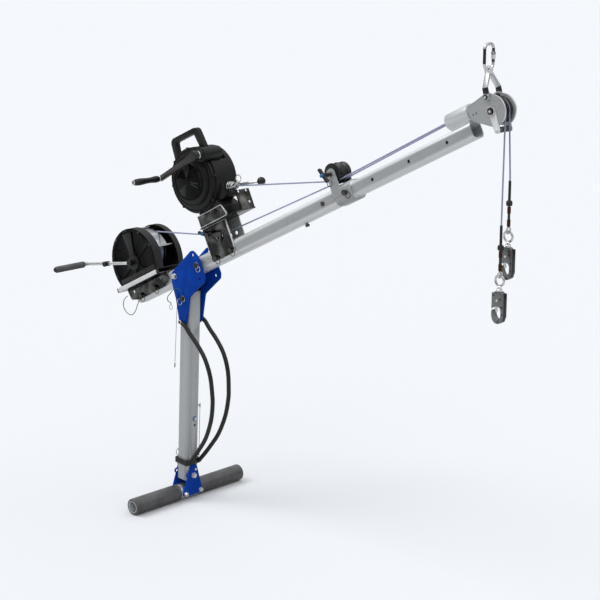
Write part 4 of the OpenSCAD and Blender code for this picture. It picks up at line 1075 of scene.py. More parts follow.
@dataclass
class Foot:
    """The bar on the ground, its hub and the two plates that the mast tilts between."""

    half_bar: float = 285.0
    half_hub: float = 54.0
    sleeve: float = 33.0
    pipe: float = 24.15
    plate_out: float = 38.05
    bolt_y: float = 39.5
    tilt_h: float = 72.0
    lock: Pair = (6.0, 98.0)

    def build(self, shop: Workshop) -> None:
        """Makes every piece of the foot."""
        shop.worked("foot_tube", Finish.PIPE, 0.8)
        shop.worked("foot_plates", Finish.BLUE, 0.9)
        self.sleeves()
        self.bolts()
        self.lock_pin()

    def sleeves(self) -> None:
        """Draws the two grey sleeves with rolled ends and a moulded lip at the hub."""
        long = self.half_bar - self.half_hub
        r, bore = self.sleeve, self.pipe + 0.05
        profile = [(0, bore), (0, r - 1.2), (0.4, r - 0.3), (1.5, r), (9, r), (10, r - 0.7),
                   (12, r - 0.7), (13, r), (long - 3.2, r), (long - 1.6, r - 0.5),
                   (long - 0.5, r - 1.6), (long, r - 3.2), (long, bore)]
        made = Shape(MAST, Finish.SLEEVE)
        for side in (-1, 1):
            made.turned((0, side * self.half_hub, 0), (0, side, 0), profile, 56, ring=True)
        made.piece("foot_sleeves_rolled", "foot", "foot_sleeves", slot="sleeve_rubber")

    def bolts(self) -> None:
        """Sets out the frame bolts and draws the tilt pivot's bolt."""
        item = bolt_item(MAST, (1, 0, 0), 10, -self.plate_out, self.plate_out, nut_low=True)
        points = [MAST.at(0, side * self.bolt_y, 0) for side in (-1, 1)]
        REPEAT[0].set_out(item, points, Finish.BRIGHT, "frame_bolts", "foot", "foot_bolts",
                          slot="bright_steel", edge=0.25)
        item = bolt_item(MAST, (1, 0, 0), 12, -self.plate_out, self.plate_out, nut_low=True)
        REPEAT[0].set_out(item, [MAST.at(0, 0, self.tilt_h)], Finish.BRIGHT, "tilt_bolt", "foot",
                          "foot_bolts", slot="bright_steel", edge=0.25)

    def lock_pin(self) -> None:
        """Draws the tilt lock's head with its pull ring, and its tip in front."""
        y, h = self.lock
        out = self.plate_out
        made = Shape(MAST, Finish.BRIGHT)
        made.turned((-out, y, h), (-1, 0, 0), [(-0.2, 8.8), (1, 9), (3, 9), (3.6, 7.4), (5, 7.2),
                                              (5.6, 9), (8.2, 9), (9, 8.2)], 28)
        made.rod((-out - 0.1, y, h), (-out + 5.9, y, h), 6, 20)
        made.wire_ring((-out - 5, y - 12, h + 10), (1, 0, 0), 12, 1.4)
        made.turned((out - 5.9, y, h), (1, 0, 0), [(0, 6), (12.5, 6), (13.9, 4.2)], 20)
        made.piece("tilt_lock", "foot", "foot_lock_pin", slot="bright_steel")


@dataclass
class Mast:
    """The leaning tube with its cap, hoses, collar and small fasteners."""

    width: float = 63.5
    fold: Pair = (4.0, 719.0)
    hose: float = 8.5
    hose_y: float = 53.0
    hose_close: float = 27.0
    fall: float = 589.0
    pull: Pair = (-10.0, 167.0)
    screw: Pair = (5.0, 311.0)
    route: tuple[Pair, ...] = ((12, 0.005), (30, 0.02), (55, 0.06), (100, 0.12), (143, 0.20),
                               (172, 0.31), (182, 0.43), (183, 0.50), (172, 0.62), (140, 0.76),
                               (97, 0.87), (66, 0.94), (37.5, 1))

    def build(self, shop: Workshop) -> None:
        """Makes every piece of the mast."""
        shop.worked("mast_tube", Finish.MAST_TUBE, 0.5, angle=50)
        shop.worked("mast_cap", Finish.KNOB_BLACK, 0.9)
        shop.worked("hose_collar", Finish.HOSE, 1.6)
        self.hoses()
        self.fasteners()

    def hose_line(self, side: int) -> list[Vector]:
        """Returns one hose's own line in row metres."""
        lean = 6 if side < 0 else -4
        points = [(x + 2 * q + lean * math.sin(math.pi * q),
                   side * (self.hose_y - self.hose_close * q * q),
                   self.fold[1] - self.fall * q) for x, q in self.route]
        return [MAST.at(*p) for p in smooth(points, 3)]

    def hoses(self) -> None:
        """Draws the two elastic hoses."""
        for side, name in ((-1, "hose_near"), (1, "hose_far")):
            Cord(name, "hoses", "mast", self.hose_line(side), self.hose, Finish.HOSE,
                 "sleeve_rubber", "object", "stiff", "loose", 18).make()

    def fasteners(self) -> None:
        """Draws the pull pin, the front screw with its blue washer and the fold bolt's ends."""
        half, (y, z), screw = self.width / 2, self.pull, self.screw
        made = Shape(MAST, Finish.BRIGHT)
        made.rod((-half + 3.2, y, z), (-half - 14, y, z), 5, 20, 0.6)
        made.turned((-half, y, z), (-1, 0, 0), [(0, 8.7), (0.5, 9), (7.2, 9), (8, 8.2)], 28)
        made.wire_ring((-half - 11, y, z - 14), (1, 0, 0), 14, 1.6)
        made.rod((half - 3.2, *screw), (half + 3, *screw), 4, 20)
        made.turned((half + 2.4, *screw), (1, 0, 0), [(0, 7), (2.4, 7), (3.3, 5.6), (3.6, 4)], 28)
        x, h = self.fold
        made.rod((x, -self.hose_y - 8, h), (x, self.hose_y + 8, h), 6, 24, 0.8)
        for side in (-1, 1):
            made.turned((x, side * (self.hose_y + 8), h), (0, side, 0),
                        [(-2, 8.6), (-1.6, 9), (-0.4, 9), (0, 8.6)], 24)
            made.paint(Finish.DARK_STEEL)
            made.turned((x - 1, side * self.hose_y, h + 0.5), (26, 0, -12.5),
                        [(0, 7.6), (1, 8.1), (27, 8.1), (28.6, 7.4)], 28)
            made.paint(Finish.BRIGHT)
        made.paint(Finish.WASHER_BLUE)
        made.turned((half - 0.1, *screw), (1, 0, 0), [(0, 9), (2.2, 9), (2.6, 8.4)], 32)
        made.piece("mast_fasteners_drawn", "mast", "mast_fasteners", slot="bright_steel")


@dataclass
class Crown:
    """The two blue plates that join mast and boom, with their pins."""

    out: float = 44.0
    boss: float = 32.05
    pivot: Pair = (-46.7, 890.8)
    fold_lock: Pair = (6.0, 812.0)
    lock_reach: float = 146.0
    lock_turn: float = 29.3

    def build(self, shop: Workshop) -> None:
        """Makes every piece of the crown."""
        shop.worked("crown_plates", Finish.BLUE, 0.9)
        self.pins()

    def lock(self) -> Pair:
        """Returns the angle lock's place in the mast's frame."""
        return polar(self.pivot, self.lock_reach, self.lock_turn)

    def pins(self) -> None:
        """Draws the pivot bolt and the heads and tips of the two lock pins."""
        item = bolt_item(MAST, (0, 1, 0), 12, -self.out, self.out)
        REPEAT[0].set_out(item, [MAST.at(self.pivot[0], 0, self.pivot[1])], Finish.BRIGHT,
                          "crown_pivot_bolt", "crown", "crown_pins", slot="bright_steel",
                          edge=0.25)
        made = Shape(MAST, Finish.BRIGHT)
        for x, h in (self.lock(), self.fold_lock):
            made.turned((x, -self.out, h), (0, -1, 0), [(-0.1, 12), (0.6, 12.4), (3.4, 12.4),
                                                       (4.2, 11)], 28)
            made.paint(Finish.KNOB_BLACK)
            made.turned((x, -self.out - 4.1, h), (0, -1, 0), [(0, 9.6), (2, 9.6), (2.6, 10.6),
                                                             (6, 10.6), (7.1, 9.4)], 28)
            made.paint(Finish.BRIGHT)
            made.rod((x, -self.boss, h), (x, -self.out, h), 6, 20)
            made.turned((x, self.boss, h), (0, 1, 0), [(0, 6), (19, 6), (20.9, 4.4)], 20)
        for (x, h), (right, down) in ((self.lock(), (14, 10)), (self.fold_lock, (-12, 14))):
            made.wire_ring((x + right, -self.out - 8, h - down), (0, 1, 0), 12, 1.4)
        made.piece("crown_locks", "crown", "crown_pins", slot="bright_steel")


def sheet_finish(place: Vector, way: Vector) -> Finish | None:
    """Tells a folded sheet's edges, painted bright as a highlight, and its inner faces, painted
    lighter as lit, from its outside, painted dark as a dark reflection.
    """
    if abs(place.y) > 33 and abs(way.y) < 0.5:
        return Finish.EDGE_HIGHLIGHT_AND_PALE_STEEL
    if place.y * way.y < -10:
        return Finish.SHEET_INSIDE_PAINTED_LIGHT
    return None


SHEET = Zones(BOOM, sheet_finish, (Finish.EDGE_HIGHLIGHT_AND_PALE_STEEL, Finish.SHEET_INSIDE_PAINTED_LIGHT))


@dataclass
class Boom:
    """The outer tube with its pulleys and pins, and the inner tube that slides in it."""

    def build(self, shop: Workshop) -> None:
        """Makes every piece of the boom."""
        shop.worked("boom_outer", Finish.BOOM_TUBE, 0.5, angle=50)
        shop.worked("boom_inner", Finish.BOOM_TUBE, 0.5, angle=50)
        shop.worked("pulley_bracket", Finish.HEAD_METAL, 1.0)
        # The pins' broken edges are painted bright as a highlight.
        shop.worked("boom_pins", Finish.DARK_STEEL, 0.8, Finish.EDGE_HIGHLIGHT_AND_PALE_STEEL)
        for node in ("mid_sheave_near", "mid_sheave_far", "guide_sheave"):
            shop.worked(node, Finish.KNOB_BLACK, 0.5)
        self.tees()

    @staticmethod
    def tees() -> None:
        """Draws the black grips and blue buttons of the two tee pins."""
        made = Shape(BOOM, Finish.KNOB_BLACK)
        for (s, n), y, turn in ((GUIDE, -68.3, 150), (MID, -76, 110)):
            a, b = polar((s, n), 29, turn), polar((s, n), -29, turn)
            made.rod((a[0], y, a[1]), (b[0], y, b[1]), 6, 20, 1.5)
            made.rod((s, y + 20, n), (s, y - 2, n), 8.6, 24, 1.0)
            made.paint(Finish.WASHER_BLUE)
            made.turned((s, y - 1.5, n), (0, -1, 0), [(0, 6.4), (8.5, 6.4), (10, 5)], 24)
            made.paint(Finish.KNOB_BLACK)
        made.piece("tee_grips", "boom", slot="black_plastic")


@dataclass
class Winch:
    """The drum winch on the boom's tail."""

    hub: Pair = (-182.0, 119.0)
    drum: Pair = (-170.0, 152.0)
    wound: float = 77.0
    near: Pair = (-71.5, -33.5)
    bar_y: float = 60.0
    flat: float = 53.0
    arm_y: float = -90.0
    arm_turn: float = 163.3
    arm: float = 287.0
    clamp: float = 145.0
    grip: Pair = (-246.0, -98.0)

    def build(self, shop: Workshop) -> None:
        """Makes every piece of the winch."""
        shop.worked("winch_bracket", Finish.STAINLESS_DARK_REFLECTION, 1.0, zones=SHEET)
        shop.worked("winch_base", Finish.STAINLESS_DARK_REFLECTION, 0.6, zones=Zones(
            BOOM, self.base_finish, (Finish.PAINTED_HIGHLIGHT_BAR,)))
        shop.worked("winch_covers", Finish.GLOSS_BLACK, 1.0, zones=Zones(
            BOOM, self.cover_finish, (Finish.RIM_GREY, Finish.PANEL_AND_PAINTED_SHEEN)))
        shop.worked("winch_guard", Finish.GUARD, 0.3)
        shop.worked("winch_drum", Finish.REEL, 0.5)
        self.bar_ends()
        self.winding()
        self.crank()

    def base_finish(self, place: Vector, way: Vector) -> Finish | None:
        """Tells the side bars, painted white as a highlight, from the plate between them."""
        return Finish.PAINTED_HIGHLIGHT_BAR if abs(place.y) > self.bar_y else None

    def cover_finish(self, place: Vector, way: Vector) -> Finish | None:
        """Tells the covers' rims and bottom bands from their glossy faces."""
        reach = math.hypot(place.x - self.hub[0], place.z - self.hub[1])
        if reach > 124 or place.z < self.flat + 5:
            return Finish.RIM_GREY
        # The grey centre is partly painted sheen.
        if place.y < self.near[0] + 4 and reach < 31:
            return Finish.PANEL_AND_PAINTED_SHEEN
        return None

    def bar_ends(self) -> None:
        """Draws the black ends of the two side bars, the covers' screws and the flat sector, whose
        grey is partly painted sheen.
        """
        made = Shape(BOOM, Finish.KNOB_BLACK)
        for side in (-1, 1):
            y = sorted((side * 60.3, side * 75.7))
            made.box((-332.5, -326), (y[0], y[1]), (34.9, self.flat + 0.2))
        made.piece("bar_ends", "boom", slot="bright_steel", edge=0.8)
        fan = [polar(self.hub, 30, 62), polar(self.hub, 122, 72), polar(self.hub, 122, 98),
               polar(self.hub, 30, 108)]
        made = Shape(BOOM, Finish.PANEL_AND_PAINTED_SHEEN)
        made.prism(fan, self.near[0] + 0.6, self.near[0] + 3.4)
        band = [(-293, self.flat + 4), (-71, self.flat + 4), (-66, 76), (-298, 76)]
        made.paint(Finish.RIM_GREY)
        made.prism(band, self.near[0] + 0.2, self.near[0] + 3.4)
        made.piece("cover_panels", "boom", slot="black_housing", edge=0.8)
        item = Shape(WorkFrame(tilt=BOOM.tilt))
        item.turned((0, 1, 0), (0, -1, 0), [(0, 4), (1.6, 4), (2.4, 3.2), (2.6, 1.2)], 20)
        spots = [polar(self.hub, 129.5, t) for t in (15, 50, 85, 120, 155, 190)]
        REPEAT[0].set_out(item, [BOOM.at(s, self.near[0], n) for s, n in spots],
                          Finish.DARK_STEEL, "cover_screws", "boom", slot="black_housing")

    def winding(self) -> None:
        """Winds the visible layer of line onto the drum."""
        place = Matrix.Identity(4)
        for column, way in enumerate((BOOM.way(1, 0, 0), BOOM.way(0, 0, -1), BOOM.way(0, 1, 0))):
            for row in range(3):
                place[row][column] = way[row]
        place.translation = BOOM.at(self.drum[0], -24.85, self.drum[1])
        made = WoundLine().wind(7.4, self.wound, 5.95, LINE_RADIUS, -80.0, place, Finish.LINE)
        hand_over(made, "wound_line", "winch_reel", ["winch_winding"], 0.0, 50.0)

    def crank(self) -> None:
        """Draws the crank: hub, bright round arm, dark clamp, stud and foam grip."""
        (s, n), y = self.hub, self.arm_y
        end = polar(self.hub, self.arm, self.arm_turn)
        mid = polar(self.hub, self.clamp, self.arm_turn)
        way = (end[0] - s, 0, end[1] - n)
        made = Shape(BOOM, Finish.KNOB_BLACK)
        made.rod((s, -16, n), (s, y - 8, n), 8, 28, 0.8)
        made.turned((s, y + 9, n), (0, -1, 0), [(0, 11.8), (1, 12.8), (16, 12.8), (17, 11.8)], 32)
        made.paint(Finish.EDGE_HIGHLIGHT_AND_PALE_STEEL)
        made.rod((s, y, n), (end[0], y, end[1]), 6.4, 24, 0.8)
        made.paint(Finish.BRIGHT)
        made.rod((end[0], y + 6, end[1]), (end[0], self.grip[0] - 4, end[1]), 5, 24, 0.8)
        made.paint(Finish.KNOB_BLACK)
        made.turned((end[0], self.grip[0] - 0.4, end[1]), (0, -1, 0), [(0, 7.6), (0.5, 8), (2.8, 8),
                                                                      (3.6, 7)], 28)
        made.paint(Finish.BRIGHT)
        made.turned(tuple(Vector((end[0], y, end[1])) - Vector(way).normalized() * 9), way,
                    [(0, 6.9), (0.6, 7.6), (16, 7.6), (17.6, 6.4)], 28)
        made.paint(Finish.KNOB_BLACK)
        made.turned(tuple(Vector((mid[0], y, mid[1])) - Vector(way).normalized() * 13), way,
                    [(0, 8), (1.2, 9.4), (8, 10), (18, 10), (24.8, 9.4), (26, 8)], 32)
        made.turned((mid[0], y + 4, mid[1]), (0, -1, 0), [(0, 9), (12, 9), (13, 10.8), (22, 10.8),
                                                         (23.6, 9.4)], 12)
        made.paint(Finish.DARK_STEEL)
        made.rod((s, -30, n), (s, -16, n), 11.4, 24)
        made.piece("winch_crank_drawn", "winch_crank_body", "winch_crank", slot="bright_steel")
        made = Shape(BOOM, Finish.FOAM)
        long = self.grip[1] - self.grip[0]
        made.turned((end[0], self.grip[1], end[1]), (0, -1, 0),
                    [(0, 5.1), (0, 8.6), (1.2, 10), (4, 12), (7, 13), (long - 8, 13),
                     (long - 4, 12.4), (long - 1.2, 10.6), (long, 8.6), (long, 5.1)], 40, ring=True)
        made.piece("winch_grip_drawn", "winch_grip_body", "winch_grip", slot="grey_foam")


@dataclass
class Block:
    """The retrieval block on the boom's top, with its crank."""

    hub: Pair = (292.5, 296.0)
    gear: Pair = (411.0, 361.0)
    front: float = -86.0
    arm_y: Pair = (-122.0, -110.0)
    arm_turn: float = 183.0
    arm: float = 223.0
    grip: Pair = (-250.0, -122.3)
    nozzle: Pair = (412.0, 225.0)
    nozzle_turn: float = -17.4
    knob: Pair = (548.0, 193.0)

    def build(self, shop: Workshop) -> None:
        """Makes every piece of the block."""
        shop.worked("block_bracket", Finish.STAINLESS_DARK_REFLECTION, 1.0, zones=SHEET)
        shop.worked("block_housing", Finish.SATIN_BLACK, 1.6, zones=Zones(
            BOOM, self.housing_finish, (Finish.GLOSS_BLACK,)))
        shop.worked("block_gearbox", Finish.SATIN_BLACK, 1.4)
        shop.worked("block_handle", Finish.SATIN_BLACK, 2.2)
        shop.worked("block_drum", Finish.REEL, 0.4)
        self.bracket_edges()
        self.cover()
        self.outlet()
        self.shift_knob()
        self.crank()

    @staticmethod
    def housing_finish(place: Vector, way: Vector) -> Finish | None:
        """Tells the cover's glossy front face from the satin rest."""
        return Finish.GLOSS_BLACK if place.y < -80 and way.y < -0.9 else None

    @staticmethod
    def bracket_edges() -> None:
        """Draws thin bright tubes round the bracket's legs and flanges, a painted highlight along
        the folded edges.
        """
        made = Shape(BOOM, Finish.EDGE_HIGHLIGHT_AND_PALE_STEEL)
        flange = [(244, 121.5), (404, 121.5), (404, 128), (388.5, 165.5), (244, 165.5)]
        leg = [(372, 2), (372, 114), (232, 114), (232, 2)]
        for side in (-1, 1):
            for outline, y in ((flange + flange[:1], side * 50), (leg, side * 36.4)):
                made.tube([BOOM.at(s, y, n) for s, n in outline], 1.5, 10)
        made.piece("bracket_edges", "boom", slot="stainless", angle=50)

    def cover(self) -> None:
        """Draws what stands on the stepped cover: beads, a grey panel in two wedges whose grey is
        partly painted sheen, ribs and screws.
        """
        s, n = self.hub
        made = Shape(BOOM, Finish.GLOSS_BLACK)
        for radius, y in ((116, -62), (94, -74), (71, -86)):
            made.turned((s, y + 0.4, n), (0, -1, 0),
                        [(0, radius - 4), (0, radius - 0.6), (1.6, radius - 1.4),
                         (1.6, radius - 3.2)], 72, ring=True)
        made.paint(Finish.PANEL_AND_PAINTED_SHEEN)
        wedge = [polar(self.hub, 12, 200), polar(self.hub, 62, 196), polar(self.hub, 65, 215),
                 polar(self.hub, 62, 234), polar(self.hub, 12, 230)]
        made.prism(wedge, self.front - 0.9, self.front + 0.3)
        wedge = [polar(self.hub, 14, 68), polar(self.hub, 62, 52), polar(self.hub, 65, 72),
                 polar(self.hub, 62, 92), polar(self.hub, 14, 82)]
        made.prism(wedge, self.front - 0.9, self.front + 0.3)
        made.paint(Finish.RIM_GREY)
        for turn in (318, 332):
            a, b = polar(self.hub, 20, turn), polar(self.hub, 62, turn)
            made.rod((a[0], self.front - 0.6, a[1]), (b[0], self.front - 0.6, b[1]), 2.6, 12, 1.0)
        made.piece("cover_relief", "boom", slot="black_housing", edge=0.3)
        item = Shape(WorkFrame(tilt=BOOM.tilt))
        item.turned((0, 1, 0), (0, -1, 0), [(0, 4), (1.8, 4), (2.4, 3.2), (2.5, 1.6)], 20)
        spots = [polar(self.hub, 122, t) for t in range(35, 351, 45)]
        REPEAT[0].set_out(item, [BOOM.at(a, -56, b) for a, b in spots], Finish.DARK_STEEL,
                          "cover_bolts", "boom", slot="black_housing")

    def outlet(self) -> None:
        """Draws the chrome outlet of the line, and the pin with its key rings."""
        (s, n), turn = self.nozzle, math.radians(self.nozzle_turn)
        c, d = math.cos(turn), math.sin(turn)
        made = Shape(BOOM, Finish.BRIGHT)
        made.turned((s - 2 * c, 0, n - 2 * d), (c, 0, d),
                    [(0, 4.3), (0, 16.4), (0.8, 17), (5, 17), (6, 15.2), (9, 15.2), (10, 17),
                     (16, 17), (17, 15.2), (20, 15.2), (21, 16.6), (25, 16.6), (26, 11),
                     (45, 11), (46, 10), (46, 4.3)], 40, ring=True)
        made.wire_ring((483, -8, 232), (0, 1, 0), 13, 2, 40)
        made.wire_ring((478, -14, 226), (0.5, 0.8, 0.2), 9, 1.4, 32)
        made.rod((483, -8, 219), (448, -8, 213), 3, 16, 0.5)
        made.piece("outlet_drawn", "boom", "block_nozzle", slot="bright_steel")

    def shift_knob(self) -> None:
        """Draws the shift rod and its black ball."""
        (s, n) = self.knob
        made = Shape(BOOM, Finish.BRIGHT)
        made.rod((386, 24, 231.4), (s, 24, n), 5, 24, 0.5)
        made.paint(Finish.KNOB_BLACK)
        way = Vector((s - 386, 0, n - 231.4)).normalized()
        ball = [(16 - 16 * math.cos(math.radians(t)), 16 * math.sin(math.radians(t)))
                for t in range(18, 171, 12)]
        made.turned((s - 3, 24, n), tuple(way), [(0, 5.1), *ball], 36)
        made.piece("shift_knob_drawn", "shift_knob", "block_knob", slot="black_plastic",
                   angle=50)

    def crank(self) -> None:
        """Draws the crank: hub with its pale ring, brown-grey arm and waisted grip."""
        (s, n), (y0, y1) = self.gear, self.arm_y
        end = polar(self.gear, self.arm, self.arm_turn)
        way = Vector((end[0] - s, 0, end[1] - n)).normalized()
        side = Vector((-way.z, 0, way.x))
        made = Shape(BOOM, Finish.CRANK_BROWN)
        plan = [(-14, -15), (4, -17), (60, -11.5), (self.arm + 4, -10), (self.arm + 12, -5),
                (self.arm + 12, 5), (self.arm + 4, 10), (60, 11.5), (4, 17), (-14, 15)]
        made.prism([(s + way.x * a + side.x * b, n + way.z * a + side.z * b) for a, b in plan],
                   y0, y1)
        made.paint(Finish.KNOB_BLACK)
        made.rod((s, y1 + 4, n), (s, y0 - 5, n), 19, 40, 1.5)
        made.rod((s, -108, n), (s, -45, n), 7, 24)
        made.paint(Finish.BRIGHT)
        made.turned((s, y1 + 10, n), (0, -1, 0), [(0, 16.5), (1, 17.5), (5, 17.5), (6, 16.5)], 40)
        made.rod((end[0], y0 + 2, end[1]), (end[0], self.grip[0] - 4, end[1]), 5, 24, 0.8)
        made.turned((end[0], y0 + 0.2, end[1]), (0, -1, 0), [(0, 11), (0.8, 11.6), (5, 11.6),
                                                            (6, 10.4)], 32)
        made.turned((end[0], self.grip[0] - 0.4, end[1]), (0, -1, 0), [(0, 8.4), (0.6, 9), (3, 9),
                                                                      (3.6, 8)], 28)
        made.piece("block_crank_drawn", "block_crank_body", "block_crank", slot="dark_crank",
                   edge=0.9)
        long = self.grip[1] - self.grip[0] - 7
        shares = ((0, 8.6), (0.012, 10.8), (0.05, 12.6), (0.12, 12.9), (0.30, 10.9), (0.45, 10.6),
                  (0.62, 12.2), (0.75, 13.2), (0.88, 12.6), (0.96, 11.2), (1, 8.8))
        made = Shape(BOOM, Finish.KNOB_BLACK)
        made.turned((end[0], self.grip[1] - 7, end[1]), (0, -1, 0),
                    [(0, 5.1), *[(q * long, r) for q, r in shares], (long, 5.1)], 40, ring=True)
        made.piece("block_grip_drawn", "block_grip_body", "block_grip", slot="black_plastic",
                   angle=50)


@dataclass
class Head:
    """The head pipe and plates, the wheels, the bail, the carabiner and the lines' runs."""

    plate_y: float = 23.0
    black_y: float = 16.0
    black_z: Pair = (1822.0, 1866.0)
    gate: Pair = (1482.2, 22.5)
    gate_rod: float = 6.3
    bail_tilt: float = 15.4
    strap: float = 9.2
    lane: float = 15.0

    def build(self, shop: Workshop) -> None:
        """Makes every piece of the head."""
        shop.worked("head_pipe", Finish.HEAD_PIPE, 0.5)
        shop.worked("head_plates", Finish.HEAD_METAL, 1.0, zones=Zones(
            BOOM, self.plate_finish, (Finish.EDGE_HIGHLIGHT_AND_PALE_STEEL,)))
        shop.worked("head_bolts", Finish.DARK_STEEL, 0.5)
        for node in ("head_sheave_near", "head_sheave_far"):
            shop.worked(node, Finish.KNOB_BLACK, 0.5)
        shop.worked("carabiner", Finish.BRIGHT, 0.6, zones=Zones(
            ROW, self.carabiner_finish, (Finish.KNOB_BLACK,)))
        shop.worked("carabiner_gate", Finish.REEL, 0.4, zones=Zones(
            ROW, self.gate_finish, (Finish.BRIGHT,)))
        # The keeper arms take the same white, painted-highlight finish.
        shop.worked("keeper_arms", Finish.PAINTED_HIGHLIGHT_BAR, 0.6)
        shop.worked("keeper_roller", Finish.FOAM, 0.8)
        self.bail(shop)
        self.bolt_faces(shop)
        self.runs()

    def plate_finish(self, place: Vector, way: Vector) -> Finish | None:
        """Tells the plates' edges, painted bright as a highlight, from their faces."""
        return Finish.EDGE_HIGHLIGHT_AND_PALE_STEEL if abs(place.y) > self.plate_y and abs(way.y) < 0.5 else None

    def carabiner_finish(self, place: Vector, way: Vector) -> Finish | None:
        """Tells the carabiner's black side stretches from its bright bow."""
        low, high = self.black_z
        return Finish.KNOB_BLACK if abs(place.y) > self.black_y and low < place.z < high else None

    def gate_finish(self, place: Vector, way: Vector) -> Finish | None:
        """Tells what is wider than the gate's rod, which is bright, from the rod."""
        reach = math.hypot(place.x - self.gate[0], place.y - self.gate[1])
        return Finish.BRIGHT if reach > self.gate_rod else None

    def bail(self, shop: Workshop) -> None:
        """Draws the bail: two solid bright straps and an eye, each strap in a black band."""
        bolt = BOOM.at(BAIL_BOLT[0], 0, BAIL_BOLT[1]) / MM
        frame = WorkFrame(origin=tuple(bolt), tilt=self.bail_tilt)
        made = Shape(frame, Finish.EDGE_HIGHLIGHT_AND_PALE_STEEL)
        leg = [(35.3, -9), (35.3, 32), (5, 84), (5, 68), (30.3, 27), (30.3, -9)]
        for side in (-1, 1):
            made.loft([[frame.at(x, side * y, n) for y, n in leg]
                       for x in (-self.strap, self.strap)])
        made.turned((0, 5, 83), (0, -1, 0), [(0, 8.5), (0, 14), (1, 15), (9, 15), (10, 14),
                                            (10, 8.5)], 40, ring=True)
        made.paint(Finish.KNOB_BLACK)
        for side in (-1, 1):
            made.box((-self.strap - 1, self.strap + 1),
                     tuple(sorted((side * 30.2, side * 36.4))), (10, 30))
        made.piece("bail_straps", shop.home["bail"], "bail", slot="bright_steel", edge=0.8)

    @staticmethod
    def bolt_faces(shop: Workshop) -> None:
        """Draws bright rings and centres round the dark bolt heads of the head."""
        made = Shape(BOOM, Finish.BRIGHT)
        for (s, n), y, inner in ((BAIL_BOLT, 35.6, 9.5), (HEAD_AXLE, 33.6, 13.2)):
            for side in (-1, 1):
                made.turned((s, side * (y + 2.2), n), (0, side, 0),
                            [(0, inner), (0, inner + 1.6), (3.4, inner + 1.4), (3.4, inner)], 32,
                            ring=True)
                made.turned((s, side * (y + 8.1), n), (0, side, 0), [(0, 5), (1.4, 5), (2, 4)], 24)
        made.piece("head_bolt_rings", shop.home["head_bolts"], slot="bright_steel")

    def runs(self) -> None:
        """Draws the lines' runs from the drum and the block, under the wheels, to the head."""
        off_drum = touch(Winch.drum, Winch.wound, 1, GUIDE, GUIDE_GROOVE, -1)
        off_guide = touch(GUIDE, GUIDE_GROOVE, -1, MID, MID_GROOVE, -1)
        off_mid = touch(MID, MID_GROOVE, -1, HEAD_AXLE, HEAD_GROOVE, 1)
        mouth = polar(Block.nozzle, 44.0, Block.nozzle_turn)
        off_mouth = touch(mouth, 0.0, 1, MID, MID_GROOVE, -1)

        def under(centre: Pair, radius: float, first: Pair, last: Pair, y: float) -> list[Vector]:
            """Returns points round a wheel's groove."""
            a, b = turn_of(centre, first), turn_of(centre, last)
            spots = [polar(centre, radius, a + (b - a) * i / 5) for i in range(6)]
            return [BOOM.at(s, y, n) for s, n in spots]

        made = Shape(BOOM, Finish.LINE)
        made.tube([BOOM.at(off_drum[0][0], 25.7, off_drum[0][1]),
                   *under(GUIDE, GUIDE_GROOVE, off_drum[1], off_guide[0], 12),
                   *under(MID, MID_GROOVE, off_guide[1], off_mid[0], self.lane)],
                  LINE_RADIUS, LINE_SIDES)
        made.tube([BOOM.at(mouth[0], 0, mouth[1]),
                   *under(MID, MID_GROOVE, off_mouth[1], off_mid[0], -self.lane)],
                  LINE_RADIUS, LINE_SIDES)
        made.piece("rear_runs", "boom", "rear_lines", slot="line", angle=50)
        made = Shape(BOOM, Finish.LINE)
        for side in (-1, 1):
            ends = [BOOM.at(off_mid[0][0], side * self.lane, off_mid[0][1]),
                    BOOM.at(off_mid[1][0], side * Drops.lanes[1], off_mid[1][1])]
            made.tube([ends[0].lerp(ends[1], i / 24) for i in range(25)],
                      LINE_RADIUS, LINE_SIDES)
        made.piece("head_runs", Bend("boom", "slide", tuple(ends[0]), tuple(ends[1])),
                   "head_lines", slot="line", angle=50)


@dataclass(frozen=True)
class Cord:
    """One free line: its route, its thickness and its finish.

    Attributes:
        name: The piece's name.
        node: The CAD node it stands for.
        body: The body it rides on.
        route: Its own line in row metres, from where it leaves the object.
        radius: Its radius in millimetres.
        finish: Its finish.
        slot: The record's material slot.
        far_end: What is on its far end. Not used.
        stiffness: How stiff it is. Not used.
        lay: How it lies. Not used.
        sides: How many sides its tube has.
    """

    name: str
    node: str
    body: str
    route: list[Vector]
    radius: float
    finish: Finish
    slot: str
    far_end: str
    stiffness: str = "medium"
    lay: str = "loose"
    sides: int = 12

    def make(self, *on_it: bpy.types.Object | str) -> bpy.types.Object:
        made = Shape(ROW, self.finish)
        made.tube(self.route, self.radius, self.sides)
        piece = made.piece(self.name, self.body, self.node, slot=self.slot, angle=50)
        length = sum((b - a).length for a, b in zip(self.route, self.route[1:]))
        2 * self.radius * MM
        return piece


# The lanyards' own points: the crown's in the mast's frame, the winch's as (along, up)
CROWN_CORD = [(9, -57, 814), (14, -59, 832), (8, -60, 847), (-10, -61, 853), (-32, -61, 845),
              (-54, -61, 822), (-70, -60, 802), (-66, -60, 790), (-48, -60, 785)]
WINCH_CORD = [(-321, 14), (-350, 6), (-366, -16), (-363, -38), (-351, -54), (-336, -62),
              (-320, -63), (-298, -53), (-277, -37), (-262, -27), (-247, -22)]
# (piece, node, body, low end, high end, radius) of each wire, in the mast's frame
SAFETY_WIRES = (
    ("crown_wire_drawn", "crown_wire", "crown", (-35, -46.3, 521), (-26, -46.3, 824), 1.0),
    ("mast_wire_drawn", "mast_wire", "mast", (37, 27, 150), (34, 30, 371), 1.1))


